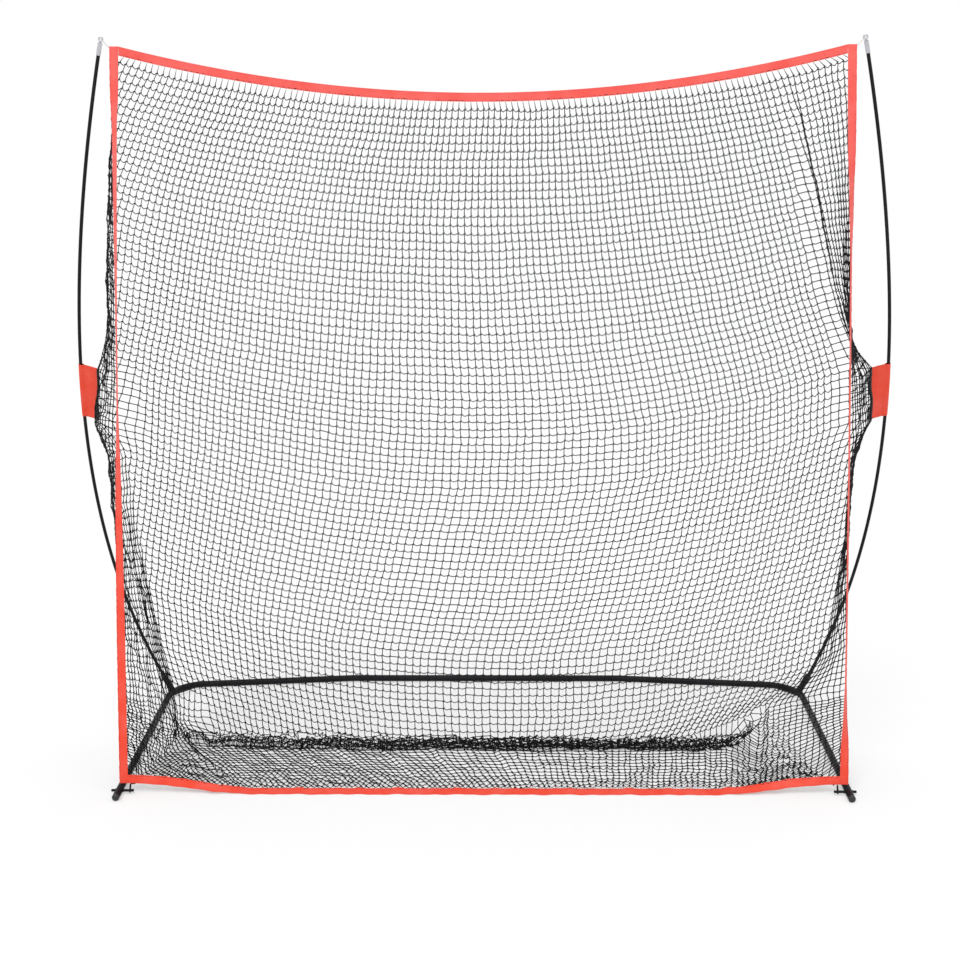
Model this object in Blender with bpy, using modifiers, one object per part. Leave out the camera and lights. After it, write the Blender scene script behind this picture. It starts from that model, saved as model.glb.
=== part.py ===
"""A seven-foot practice net: steel tube base, two bowed poles and a netting pocket.

Units are metres, +Z is up and the open front faces -Y. Depths in the constants are measured back
from the line on which the front of the net lies; at() moves them so that the origin is under the
middle of the whole object.
"""

import math

import bmesh
import bpy
from mathutils import Matrix, Vector

# Steel tubes of the base
TUBE_RADIUS = 0.011
TUBE_WALL = 0.0013
CORNER_TUBE_WALL = 0.0011
NECK_LENGTH = 0.060
SHOULDER_LENGTH = 0.0006
LEG_SPACING = 2.170
LEG_FRONT = -0.040
LEG_JOINT_DEPTH = 0.660
CROSSBAR_DEPTH = 0.920
CROSSBAR_TUBE_LENGTH = 0.888
CROSSBAR_STUB = 0.020
ARM_SWEEP = math.radians(6.5)
CORNER_RADIUS = 0.120
CORNER_STEPS = 8

# Brace across the inside of each corner
BRACE_RADIUS = 0.0025
BRACE_FROM = math.radians(2)
BRACE_TO = math.radians(83)

# Foot plugs and the bars that the lower net corners hook on to
PLUG_STEM_LENGTH = 0.022
PLUG_HEAD_LENGTH = 0.012
HOOK_BAR_RADIUS = 0.0042
HOOK_BAR_DEPTH = 0.004
HOOK_BAR_INNER_REACH = 0.044
HOOK_BAR_OUTER_REACH = 0.024

# Snap buttons that lock the tubes
BUTTON_RADIUS = 0.0030
BUTTON_FROM_SHOULDER = 0.030
BUTTON_RISE = 0.0025
BUTTON_DOME = 0.0012
BUTTON_FLANGE_RADIUS = 0.0040
BUTTON_FLANGE_BASE = 0.0055
BUTTON_FLANGE_THICKNESS = 0.0007
SPRING_LEAF_THICKNESS = 0.0006
SPRING_WIDTH = 0.0070
SPRING_BACK = 0.020
SPRING_FRONT = 0.018
SPRING_LOWER_LEAF = -0.0065

# Pole sockets on the corners, and their bushes
SOCKET_LENGTH = 0.075
SOCKET_AROUND_CORNER = math.radians(22)
SOCKET_SPLAY = math.radians(21.4)
SOCKET_RAKE = math.radians(14.8)
BUSH_FLOOR = 0.003
BUSH_FLANGE = 0.003

# Bowed poles
POLE_RADIUS = 0.0055
POLE_WALL = 0.0023
POLE_SECTIONS = ("lower", "middle", "upper")
POLE_TOP_HALF_SPACING = 1.0815
POLE_TOP_DEPTH = 0.298
POLE_TOP_HEIGHT = 2.162
POLE_TOP_LEAN_IN = math.radians(13.4)
POLE_TOP_LEAN_FORWARD = math.radians(6.1)
POLE_LOWER_HANDLE = 0.602
POLE_UPPER_HANDLE = 0.874
POLE_SECTION_GAP = 0.0004
POLE_STEPS = 8
SPIGOT_LENGTH = 0.100

# Pole tips
FERRULE_RADIUS = 0.0068
FERRULE_LENGTH = 0.036
FERRULE_POLE_DEPTH = 0.030
FERRULE_WEB = 0.0022
EYE_RADIUS = 0.0078
EYE_HOLE_RADIUS = 0.0030
EYE_THICKNESS = 0.0045
EYE_STEM_RADIUS = 0.0024
EYE_LIFT = 0.0015

# Woven binding round the opening of the net
BINDING_WIDTH = 0.0254
BINDING_THICKNESS = 0.0016
TOP_CORNER_IN_FROM_EYE = 0.0220
TOP_CORNER_BELOW_EYE = 0.0198
TOP_CORNER_BEHIND_EYE = 0.0036
SIDE_BOW = 0.004
SIDE_TURN = math.radians(70)
SIDE_TURN_SHARE = 0.22
TOP_SAG = 0.130
BOTTOM_CORNER_HEIGHT = 0.030
BOTTOM_CORNER_DEPTH = 0.012
BOTTOM_RISE_LENGTH = 0.380
BOTTOM_FLOOR_TILT = math.radians(18)

# Netting, simplified to a coarse mesh of flat bars
NET_THICKNESS = 0.0014
NET_BAR = 0.0060
NET_COLUMNS = 12
NET_ROWS = 10
SIDE_COLUMNS = 3
FLOOR_ROWS = 3
NET_MIDDLE_DEPTH = 0.400
NET_MIDDLE_HEIGHT = 1.100
NET_FLOOR_DEPTH = 0.360
NET_CORNER_DEPTH = 0.470
NET_CORNER_INSIDE_LEG = 0.065
NET_SEAM_GAP = 0.0009
NET_FOLD_INSET = 0.0018
FLOOR_CLEARANCE = 0.0003

# Fabric tabs that hold the net's sides to the poles
TAB_CENTRE_HEIGHT = 1.132
TAB_HEIGHT = 0.175
TAB_TOP_WIDTH = 0.071
TAB_FOOT_WIDTH = 0.056
TAB_THICKNESS = 0.0009
TAB_TURN = math.radians(26)
TAB_WAVE = 0.004
TAB_WAVES = 1.5
TAB_WRAP_FROM = math.radians(75)

# Cord loops at the net's corners
TOP_LOOP_RADIUS = 0.0010
BOTTOM_LOOP_RADIUS = 0.0015
BOTTOM_LOOP_FROM_END = 0.012

# Clearance between pieces that touch or plug together
FIT = 0.0003

# Facets of round pieces
TUBE_SIDES = 12
POLE_SIDES = 8
CORD_SIDES = 6

FINISHES = {
    "black_paint": ((0.012, 0.012, 0.014), 0.35, 0.4),
    "black_plastic": ((0.015, 0.015, 0.016), 0.55, 0.0),
    "black_glass_fibre": ((0.010, 0.010, 0.011), 0.30, 0.0),
    "bare_steel": ((0.60, 0.60, 0.62), 0.30, 1.0),
    "bright_metal": ((0.80, 0.80, 0.82), 0.15, 1.0),
    "red_webbing": ((0.82, 0.08, 0.03), 0.80, 0.0),
    "red_cloth": ((0.80, 0.06, 0.02), 0.75, 0.0),
    "black_netting": ((0.015, 0.015, 0.016), 0.80, 0.0),
    "white_elastic": ((0.85, 0.85, 0.84), 0.80, 0.0),
}

SIDES = (("left", -1), ("right", 1))

# Sizes that follow from the ones above
TUBE_APOTHEM = math.cos(math.pi / TUBE_SIDES)
POLE_APOTHEM = math.cos(math.pi / POLE_SIDES)
TUBE_AXIS_HEIGHT = TUBE_RADIUS * TUBE_APOTHEM
TUBE_BORE = TUBE_RADIUS - TUBE_WALL
NECK_RADIUS = TUBE_BORE * TUBE_APOTHEM - FIT
LEG_X = LEG_SPACING / 2
CROSSBAR_JOINT_X = CROSSBAR_TUBE_LENGTH / 2
FRONT_DEPTH = LEG_FRONT - PLUG_HEAD_LENGTH
BACK_DEPTH = CROSSBAR_DEPTH + TUBE_RADIUS * TUBE_APOTHEM
MIDDLE_DEPTH = (FRONT_DEPTH + BACK_DEPTH) / 2
EYE_HEIGHT = FERRULE_LENGTH - FERRULE_POLE_DEPTH + EYE_LIFT + EYE_RADIUS
TIP_WAY = Vector((-math.tan(POLE_TOP_LEAN_IN), -math.tan(POLE_TOP_LEAN_FORWARD), 1)).normalized()
EYE_CENTRE = Vector((POLE_TOP_HALF_SPACING, POLE_TOP_DEPTH, POLE_TOP_HEIGHT)) + TIP_WAY * EYE_HEIGHT
SIDE_TOP_X = EYE_CENTRE.x - TOP_CORNER_IN_FROM_EYE - BINDING_WIDTH / 2
SIDE_BOTTOM_X = LEG_X - BINDING_WIDTH / 2
TOP_CORNER_HEIGHT = EYE_CENTRE.z - TOP_CORNER_BELOW_EYE
TOP_CORNER_DEPTH = EYE_CENTRE.y + TOP_CORNER_BEHIND_EYE
NET_CORNER_X = LEG_X - NET_CORNER_INSIDE_LEG
NET_FLOOR_HEIGHT = NET_THICKNESS / 2 + FLOOR_CLEARANCE
BUTTON_HOLE_RADIUS = (BUTTON_RADIUS + FIT) / TUBE_APOTHEM
STEM_HOLE_DEPTH = FERRULE_LENGTH - FERRULE_POLE_DEPTH - FIT - FERRULE_WEB

UP = Vector((0, 0, 1))
RIGHT = Vector((1, 0, 0))
BACK = Vector((0, 1, 0))


# ---------------------------------------------------------------- numbers and places


def mix(a, b, share):
    return a + (b - a) * share


def ease(share):
    """Smooth step from 0 to 1."""
    share = min(max(share, 0.0), 1.0)
    return share * share * (3 - 2 * share)


def at(x, depth, z):
    """The place at this width, depth behind the front line, and height."""
    return Vector((x, depth - MIDDLE_DEPTH, z))


def axes(origin, along, hint):
    """Placement with local Z along one direction and local X as near to the hint as it can be."""
    z = along.normalized()
    x = (hint - z * hint.dot(z)).normalized()
    matrix = Matrix((x, z.cross(x), z)).transposed().to_4x4()
    matrix.translation = origin
    return matrix


def flat_down(along):
    """Direction of a facet's corner that puts a flat facet of a lying tube underneath."""
    return Matrix.Rotation(math.pi / TUBE_SIDES, 3, along) @ -UP


# ---------------------------------------------------------------- scene, materials and shapes


def collection(name, hidden=False):
    made = bpy.data.collections.new(name)
    made.hide_render = hidden
    bpy.context.scene.collection.children.link(made)
    return made


def start_scene():
    for obj in list(bpy.data.objects):
        bpy.data.objects.remove(obj)
    return collection("practice_net"), collection("cutters", hidden=True)


PARTS, CUTTERS = start_scene()


def as_cutter(obj):
    """Keeps a shape out of the model: it only cuts or joins another."""
    for home in list(obj.users_collection):
        home.objects.unlink(obj)
    CUTTERS.objects.link(obj)
    obj.hide_render = True
    obj.display_type = "WIRE"
    return obj


def add_finish(obj, finish):
    colour, roughness, metallic = FINISHES[finish]
    material = bpy.data.materials.new(obj.name)
    material.use_nodes = True
    shader = material.node_tree.nodes["Principled BSDF"]
    shader.inputs["Base Color"].default_value = (*colour, 1)
    shader.inputs["Roughness"].default_value = roughness
    shader.inputs["Metallic"].default_value = metallic
    obj.data.materials.clear()
    obj.data.materials.append(material)
    return obj


def add_object(name, data, matrix=None):
    obj = bpy.data.objects.new(name, data)
    PARTS.objects.link(obj)
    if matrix is not None:
        obj.matrix_world = matrix
    return obj


def turned(name, profile, sides, matrix, closed=False):
    """A profile of (radius, height) points, outer side first and downwards, turned round local Z."""
    mesh = bpy.data.meshes.new(name)
    edges = [(i, i + 1) for i in range(len(profile) - 1)]
    if closed:
        edges.append((len(profile) - 1, 0))
    mesh.from_pydata([(radius, 0, z) for radius, z in profile], edges, [])
    obj = add_object(name, mesh, matrix)
    screw = obj.modifiers.new("turn", "SCREW")
    screw.steps = sides
    screw.render_steps = sides
    screw.use_merge_vertices = True
    screw.merge_threshold = 0.00001
    screw.use_smooth_shade = True
    return obj


def tube_profile(outer, inner, bottom, top):
    return [(outer, top), (outer, bottom), (inner, bottom), (inner, top)]


def swept(name, points, radius, sides, radii=None, cyclic=False, caps=True, tilt=0.0):
    """A round wire along points given in the world; its origin is on the first of them."""
    curve = bpy.data.curves.new(name, "CURVE")
    curve.dimensions = "3D"
    curve.bevel_depth = radius
    curve.bevel_resolution = (sides - 4) // 2
    curve.use_fill_caps = caps and not cyclic
    spline = curve.splines.new("POLY")
    spline.points.add(len(points) - 1)
    origin = points[0]
    for index, place in enumerate(points):
        spline.points[index].co = (*(place - origin), 1)
        spline.points[index].radius = (radii[index] / radius) if radii else 1.0
        spline.points[index].tilt = tilt
    spline.use_cyclic_u = cyclic
    obj = add_object(name, curve)
    obj.location = origin
    return obj


def as_mesh(obj):
    """The same shape as a mesh object, with its caps welded on."""
    bpy.context.view_layer.update()
    graph = bpy.context.evaluated_depsgraph_get()
    mesh = bpy.data.meshes.new_from_object(obj.evaluated_get(graph))
    bm = bmesh.new()
    bm.from_mesh(mesh)
    bmesh.ops.remove_doubles(bm, verts=bm.verts, dist=0.000001)
    bm.to_mesh(mesh)
    bm.free()
    name, matrix = obj.name, obj.matrix_world.copy()
    bpy.data.objects.remove(obj)
    mesh.name = name
    return add_object(name, mesh, matrix)


def hollow_sweep(name, points, radius, wall, sides, radii=None, tilt=0.0):
    """A bent tube with open ends."""
    obj = as_mesh(swept(name, points, radius, sides, radii=radii, caps=False, tilt=tilt))
    add_thickness(obj, wall, -1)
    return obj


def add_thickness(obj, thickness, offset=0):
    solidify = obj.modifiers.new("thickness", "SOLIDIFY")
    solidify.thickness = thickness
    solidify.offset = offset
    solidify.use_even_offset = True


def combine(obj, other, operation="DIFFERENCE"):
    boolean = obj.modifiers.new(other.name, "BOOLEAN")
    boolean.operation = operation
    boolean.solver = "EXACT"
    boolean.object = as_cutter(other)


def cylinder(name, radius, bottom, top, matrix, sides=TUBE_SIDES):
    """A plain cylinder between two heights on local Z."""
    mesh = bpy.data.meshes.new(name)
    bm = bmesh.new()
    shift = Matrix.Translation((0, 0, (bottom + top) / 2))
    bmesh.ops.create_cone(
        bm,
        cap_ends=True,
        segments=sides,
        radius1=radius,
        radius2=radius,
        depth=top - bottom,
        matrix=shift,
    )
    bm.to_mesh(mesh)
    bm.free()
    mesh.shade_smooth()
    mesh.set_sharp_from_angle(angle=math.radians(40))
    return add_object(name, mesh, matrix)


def grid_surface(name, columns, rows, place, drop_gaps=False):
    """An open surface of columns x rows faces whose corner (i, j) stands at place(i, j).

    With drop_gaps, the faces of odd column and odd row are left out, which makes a lattice.
    """
    bm = bmesh.new()
    bmesh.ops.create_grid(bm, x_segments=columns, y_segments=rows, size=0.5)
    if drop_gaps:
        gaps = []
        for face in bm.faces:
            middle = face.calc_center_median()
            column = int((middle.x + 0.5) * columns)
            row = int((middle.y + 0.5) * rows)
            if column % 2 and row % 2:
                gaps.append(face)
        bmesh.ops.delete(bm, geom=gaps, context="FACES_ONLY")
    for vertex in bm.verts:
        i = round((vertex.co.x + 0.5) * columns)
        j = round((vertex.co.y + 0.5) * rows)
        vertex.co = place(i, j)
    mesh = bpy.data.meshes.new(name)
    bm.to_mesh(mesh)
    bm.free()
    return add_object(name, mesh)


def strip(name, stations, thickness):
    """A band through stations, each a pair of points on its two long edges."""
    obj = grid_surface(name, 1, len(stations) - 1, lambda i, j: stations[j][i])
    add_thickness(obj, thickness)
    return obj


# ---------------------------------------------------------------- base frame


def crossbar_height_at(x, depth):
    return at(x, depth, TUBE_AXIS_HEIGHT)


def corner_centre(side):
    """Centre of the bend of one corner, on the floor plan, at the height of the tube's axis."""
    reach = LEG_X - CROSSBAR_JOINT_X - CROSSBAR_STUB
    sharp_depth = CROSSBAR_DEPTH - reach * math.tan(ARM_SWEEP)
    turn = math.pi / 2 - ARM_SWEEP
    tangent = CORNER_RADIUS * math.tan(turn / 2)
    return crossbar_height_at(side * (LEG_X - CORNER_RADIUS), sharp_depth - tangent)


def corner_point(side, angle):
    """Point on the bend's centre line; angle 0 is where the leg starts."""
    spoke = Vector((side * math.cos(angle), math.sin(angle), 0))
    return corner_centre(side) + spoke * CORNER_RADIUS


def corner_path(side):
    """Centre line and radii of one corner tube, from the crossbar neck to the leg neck."""
    crossbar_steps = (-NECK_LENGTH, -SHOULDER_LENGTH, 0, CROSSBAR_STUB)
    points = [
        crossbar_height_at(side * (CROSSBAR_JOINT_X + step), CROSSBAR_DEPTH)
        for step in crossbar_steps
    ]
    turn = math.pi / 2 - ARM_SWEEP
    for step in range(CORNER_STEPS + 1):
        points.append(corner_point(side, turn * (1 - step / CORNER_STEPS)))
    leg_steps = (0, -SHOULDER_LENGTH, -NECK_LENGTH)
    points += [crossbar_height_at(side * LEG_X, LEG_JOINT_DEPTH + step) for step in leg_steps]
    radii = [TUBE_RADIUS] * len(points)
    for index in (0, 1, -2, -1):
        radii[index] = NECK_RADIUS
    return points, radii


def corner_envelope(name, side):
    """The corner tube with its clearance, as a cutter for what is welded on to it."""
    points, _ = corner_path(side)
    radius = (TUBE_RADIUS + FIT) / TUBE_APOTHEM
    return as_mesh(swept(name, points, radius, TUBE_SIDES))


def snap_places():
    """Name, place on the tube's axis and direction into the neck, for each snap button."""
    for word, side in SIDES:
        inward = CROSSBAR_JOINT_X - BUTTON_FROM_SHOULDER
        place = crossbar_height_at(side * inward, CROSSBAR_DEPTH)
        yield f"crossbar_{word}", word, place, Vector((-side, 0, 0))
    for word, side in SIDES:
        place = crossbar_height_at(side * LEG_X, LEG_JOINT_DEPTH - BUTTON_FROM_SHOULDER)
        yield f"leg_{word}", word, place, -BACK


def button_hole(name, place, inward):
    """Cutter for the hole that a snap button stands in, through the upper wall only."""
    top = TUBE_RADIUS + BUTTON_RISE
    return cylinder(name, BUTTON_HOLE_RADIUS, BUTTON_FLANGE_RADIUS, top, axes(place, UP, inward))


def make_corner_tubes():
    made = {}
    for word, side in SIDES:
        points, radii = corner_path(side)
        made[word] = hollow_sweep(
            f"corner_tube_{word}",
            points,
            TUBE_RADIUS,
            CORNER_TUBE_WALL,
            TUBE_SIDES,
            radii=radii,
            tilt=math.pi / TUBE_SIDES,
        )
        add_finish(made[word], "black_paint")
    for name, word, place, inward in snap_places():
        combine(made[word], button_hole(f"neck_hole_{name}", place, inward))


def make_crossbar():
    half = CROSSBAR_JOINT_X - SHOULDER_LENGTH - FIT
    matrix = axes(crossbar_height_at(0, CROSSBAR_DEPTH), RIGHT, flat_down(RIGHT))
    profile = tube_profile(TUBE_RADIUS, TUBE_BORE, -half, half)
    tube = turned("crossbar_middle_tube", profile, TUBE_SIDES, matrix, closed=True)
    add_finish(tube, "black_paint")
    for name, _, place, inward in snap_places():
        if name.startswith("crossbar"):
            combine(tube, button_hole(f"tube_hole_{name}", place, inward))


def make_legs():
    tubes = {}
    for word, side in SIDES:
        start = crossbar_height_at(side * LEG_X, LEG_FRONT)
        length = LEG_JOINT_DEPTH - FIT - SHOULDER_LENGTH - LEG_FRONT
        profile = tube_profile(TUBE_RADIUS, TUBE_BORE, 0, length)
        matrix = axes(start, BACK, flat_down(BACK))
        tubes[word] = turned(f"leg_tube_{word}", profile, TUBE_SIDES, matrix, closed=True)
        add_finish(tubes[word], "black_paint")
        hole = (HOOK_BAR_RADIUS + FIT) / TUBE_APOTHEM
        across = axes(crossbar_height_at(side * LEG_X, HOOK_BAR_DEPTH), RIGHT, UP)
        reach = 2 * TUBE_RADIUS
        combine(tubes[word], cylinder(f"hook_bar_hole_{word}", hole, -reach, reach, across))
    for name, word, place, inward in snap_places():
        if name.startswith("leg"):
            combine(tubes[word], button_hole(f"tube_hole_{name}", place, inward))


def make_foot_plugs():
    stem = TUBE_BORE * TUBE_APOTHEM - FIT
    dome = PLUG_HEAD_LENGTH * 0.35
    profile = [
        (0, PLUG_HEAD_LENGTH),
        (TUBE_RADIUS * 0.62, PLUG_HEAD_LENGTH - dome * 0.15),
        (TUBE_RADIUS * 0.90, PLUG_HEAD_LENGTH - dome * 0.50),
        (TUBE_RADIUS, PLUG_HEAD_LENGTH - dome),
        (TUBE_RADIUS, FIT),
        (stem, FIT),
        (stem, -PLUG_STEM_LENGTH),
        (0, -PLUG_STEM_LENGTH),
    ]
    for word, side in SIDES:
        start = crossbar_height_at(side * LEG_X, LEG_FRONT)
        matrix = axes(start, -BACK, flat_down(-BACK))
        add_finish(turned(f"foot_plug_{word}", profile, TUBE_SIDES, matrix), "black_plastic")


def make_hook_bars():
    for word, side in SIDES:
        inner = crossbar_height_at(side * (LEG_X - HOOK_BAR_INNER_REACH), HOOK_BAR_DEPTH)
        length = HOOK_BAR_INNER_REACH + HOOK_BAR_OUTER_REACH
        matrix = axes(inner, Vector((side, 0, 0)), UP)
        bar = cylinder(f"net_hook_bar_{word}", HOOK_BAR_RADIUS, 0, length, matrix)
        add_finish(bar, "black_paint")


def make_braces():
    for word, side in SIDES:
        ends = [corner_point(side, BRACE_FROM), corner_point(side, BRACE_TO)]
        brace = as_mesh(swept(f"corner_brace_{word}", ends, BRACE_RADIUS, POLE_SIDES))
        combine(brace, corner_envelope(f"corner_envelope_brace_{word}", side))
        add_finish(brace, "black_paint")


def make_snap_buttons():
    top = TUBE_RADIUS + BUTTON_RISE
    shoulder = BUTTON_FLANGE_BASE + BUTTON_FLANGE_THICKNESS
    profile = [
        (0, top),
        (BUTTON_RADIUS * 0.70, top - BUTTON_DOME * 0.30),
        (BUTTON_RADIUS, top - BUTTON_DOME),
        (BUTTON_RADIUS, shoulder),
        (BUTTON_FLANGE_RADIUS, shoulder),
        (BUTTON_FLANGE_RADIUS, BUTTON_FLANGE_BASE),
        (0, BUTTON_FLANGE_BASE),
    ]
    for name, _, place, inward in snap_places():
        matrix = axes(place, UP, inward)
        add_finish(turned(f"snap_button_{name}", profile, TUBE_SIDES, matrix), "bare_steel")


def make_snap_springs():
    """A leaf folded into a U that lies in the neck: the upper leaf carries the button."""
    upper = BUTTON_FLANGE_BASE - FIT - SPRING_LEAF_THICKNESS / 2
    lower = SPRING_LOWER_LEAF
    middle = (upper + lower) / 2
    half = (upper - lower) / 2
    side_view = [(-SPRING_BACK, lower)]
    for step in range(5):
        angle = math.pi * (step / 4 - 0.5)
        side_view.append((SPRING_FRONT - half * (1 - math.cos(angle)), middle + half * math.sin(angle)))
    side_view.append((-SPRING_BACK, upper))
    for name, _, place, inward in snap_places():
        across = UP.cross(inward) * (SPRING_WIDTH / 2)
        stations = []
        for along, height in side_view:
            spine = inward * along + UP * height
            stations.append((spine - across, spine + across))
        spring = strip(f"snap_spring_{name}", stations, SPRING_LEAF_THICKNESS)
        spring.location = place
        add_finish(spring, "bare_steel")


# ---------------------------------------------------------------- poles


def socket_direction(side):
    lean = Vector((side * math.tan(SOCKET_SPLAY), -math.tan(SOCKET_RAKE), 1))
    return lean.normalized()


def tip_direction(side):
    return Vector((side * TIP_WAY.x, TIP_WAY.y, TIP_WAY.z))


def bush_bottom(side):
    """Height along the socket at which the bush's lower end just clears the corner tube."""
    tangent = Vector((-side * math.sin(SOCKET_AROUND_CORNER), math.cos(SOCKET_AROUND_CORNER), 0))
    slant = abs(socket_direction(side).dot(tangent))
    square = math.sqrt(1 - slant * slant)
    return (TUBE_RADIUS + FIT + bush_radius() * slant) / square


def bush_radius():
    return TUBE_BORE * TUBE_APOTHEM - FIT


def socket_foot(side):
    return corner_point(side, SOCKET_AROUND_CORNER)


def pole_bend(side):
    """The bent part of a pole, from the bush's mouth to the tip, as points of one Bezier curve."""
    start_way, end_way = socket_direction(side), tip_direction(side)
    start = socket_foot(side) + start_way * (SOCKET_LENGTH + BUSH_FLANGE)
    end = at(side * POLE_TOP_HALF_SPACING, POLE_TOP_DEPTH, POLE_TOP_HEIGHT)
    handles = (start, start + start_way * POLE_LOWER_HANDLE, end - end_way * POLE_UPPER_HANDLE, end)
    count = 160
    points = []
    for step in range(count + 1):
        t = step / count
        weights = ((1 - t) ** 3, 3 * (1 - t) ** 2 * t, 3 * (1 - t) * t**2, t**3)
        points.append(sum((w * h for w, h in zip(weights, handles)), Vector()))
    return points


def pole_path(side):
    """The whole pole: a straight foot in the bush, then the bend."""
    foot = socket_foot(side) + socket_direction(side) * (bush_bottom(side) + BUSH_FLOOR + FIT)
    return [foot, *pole_bend(side)]


def lengths_along(points):
    total = [0.0]
    for before, after in zip(points, points[1:]):
        total.append(total[-1] + (after - before).length)
    return total


def point_along(points, distance):
    """The point this far along, measured over the points."""
    total = lengths_along(points)
    for index in range(1, len(points)):
        if total[index] >= distance or index == len(points) - 1:
            share = (distance - total[index - 1]) / (total[index] - total[index - 1])
            return points[index - 1].lerp(points[index], share)


def slice_along(points, start, end, steps):
    return [point_along(points, mix(start, end, step / steps)) for step in range(steps + 1)]


def pole_joints(side):
    """Distances along the pole of its two joints."""
    length = lengths_along(pole_path(side))[-1]
    return [length * share / len(POLE_SECTIONS) for share in range(1, len(POLE_SECTIONS))]


def make_sockets():
    for word, side in SIDES:
        matrix = axes(socket_foot(side), socket_direction(side), RIGHT)
        profile = tube_profile(TUBE_RADIUS, TUBE_BORE, 0, SOCKET_LENGTH)
        socket = turned(f"pole_socket_{word}", profile, TUBE_SIDES, matrix, closed=True)
        combine(socket, corner_envelope(f"corner_envelope_socket_{word}", side))
        add_finish(socket, "black_paint")
        bottom = bush_bottom(side)
        bore = (POLE_RADIUS + FIT) / POLE_APOTHEM
        top = SOCKET_LENGTH + FIT + BUSH_FLANGE
        profile = [
            (bore, top),
            (TUBE_RADIUS, top),
            (TUBE_RADIUS, SOCKET_LENGTH + FIT),
            (bush_radius(), SOCKET_LENGTH + FIT),
            (bush_radius(), bottom),
            (0, bottom),
            (0, bottom + BUSH_FLOOR),
            (bore, bottom + BUSH_FLOOR),
        ]
        outline = profile[:6], profile[6:]
        ring = [outline[1][0], outline[1][1], *outline[0]]
        bush = turned(f"socket_bush_{word}", ring, TUBE_SIDES, matrix)
        add_finish(bush, "black_plastic")


def make_poles():
    """Three sections to a pole, straight over the pins that join them."""
    grip = SPIGOT_LENGTH / 2
    for word, side in SIDES:
        path = pole_path(side)
        length = lengths_along(path)[-1]
        cuts = [0.0, *pole_joints(side), length]
        last = len(POLE_SECTIONS) - 1
        for number, section in enumerate(POLE_SECTIONS):
            start, end = cuts[number], cuts[number + 1]
            bend_from = start + grip if number else (path[1] - path[0]).length
            bend_to = end - grip if number < last else end
            points = slice_along(path, bend_from, bend_to, POLE_STEPS)
            points.insert(0, point_along(path, start + POLE_SECTION_GAP / 2))
            if number < last:
                points.append(point_along(path, end - POLE_SECTION_GAP / 2))
            pole = hollow_sweep(
                f"pole_{section}_{word}", points, POLE_RADIUS, POLE_WALL, POLE_SIDES
            )
            add_finish(pole, "black_glass_fibre")


def make_spigots():
    """Pins inside the joints of each pole."""
    radius = (POLE_RADIUS - POLE_WALL) * POLE_APOTHEM - FIT
    grip = SPIGOT_LENGTH / 2
    for word, side in SIDES:
        path = pole_path(side)
        for place, joint in zip(("lower", "upper"), pole_joints(side)):
            points = [point_along(path, joint + step) for step in (-grip, 0, grip)]
            pin = swept(f"pole_spigot_{place}_{word}", points, radius, POLE_SIDES)
            add_finish(pin, "bare_steel")


def tip_matrix(side, distance):
    """Placement on the pole's end line, this far above the pole's top end."""
    way = tip_direction(side)
    top = at(side * POLE_TOP_HALF_SPACING, POLE_TOP_DEPTH, POLE_TOP_HEIGHT)
    return axes(top + way * distance, way, RIGHT)


def make_ferrules():
    pole_bore = (POLE_RADIUS + FIT) / POLE_APOTHEM
    stem_bore = (EYE_STEM_RADIUS + FIT) / TUBE_APOTHEM
    web_bottom = FERRULE_POLE_DEPTH + FIT
    web_top = FERRULE_LENGTH - STEM_HOLE_DEPTH
    profile = [
        (0, web_top),
        (stem_bore, web_top),
        (stem_bore, FERRULE_LENGTH),
        (FERRULE_RADIUS, FERRULE_LENGTH),
        (FERRULE_RADIUS, 0),
        (pole_bore, 0),
        (pole_bore, web_bottom),
        (0, web_bottom),
    ]
    for word, side in SIDES:
        matrix = tip_matrix(side, -FERRULE_POLE_DEPTH)
        add_finish(turned(f"pole_tip_ferrule_{word}", profile, TUBE_SIDES, matrix), "bright_metal")


def make_eyes():
    half = EYE_THICKNESS / 2
    for word, side in SIDES:
        upright = tip_matrix(side, EYE_HEIGHT)
        lying = upright @ Matrix.Rotation(math.pi / 2, 4, "X")
        eye = cylinder(f"pole_tip_eye_{word}", EYE_RADIUS, -half, half, lying, sides=16)
        foot = FIT - EYE_RADIUS - EYE_LIFT - STEM_HOLE_DEPTH
        stem = cylinder(f"eye_stem_{word}", EYE_STEM_RADIUS, foot, -EYE_RADIUS * 0.7, upright)
        combine(eye, stem, "UNION")
        combine(eye, cylinder(f"eye_hole_{word}", EYE_HOLE_RADIUS, -2 * half, 2 * half, lying))
        add_finish(eye, "bright_metal")


# ---------------------------------------------------------------- net


def lattice_lines(count, bar_share):
    """Edges of count + 1 bars spread from 0 to 1, each bar_share wide."""
    lines = []
    for number in range(count + 1):
        start = (1 - bar_share) * number / count
        lines += [start, start + bar_share]
    return lines


def column_lines():
    return [2 * share - 1 for share in lattice_lines(NET_COLUMNS, NET_BAR / (2 * SIDE_TOP_X))]


def row_lines():
    return lattice_lines(NET_ROWS, NET_BAR / TOP_CORNER_HEIGHT)


def opening_lean():
    """Unit vectors of the opening's side: upwards along it, and back square to it."""
    rise = TOP_CORNER_HEIGHT - BOTTOM_CORNER_HEIGHT
    upward = Vector((0, TOP_CORNER_DEPTH - BOTTOM_CORNER_DEPTH, rise)).normalized()
    return upward, RIGHT.cross(upward) * -1


def side_binding_centre(side, v):
    """Middle of a side binding, from the top corner (v = 0) to the bottom corner (v = 1)."""
    x = mix(SIDE_TOP_X, SIDE_BOTTOM_X, v) + SIDE_BOW * math.sin(math.pi * v)
    depth = mix(TOP_CORNER_DEPTH, BOTTOM_CORNER_DEPTH, v)
    return at(side * x, depth, mix(TOP_CORNER_HEIGHT, BOTTOM_CORNER_HEIGHT, v))


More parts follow.
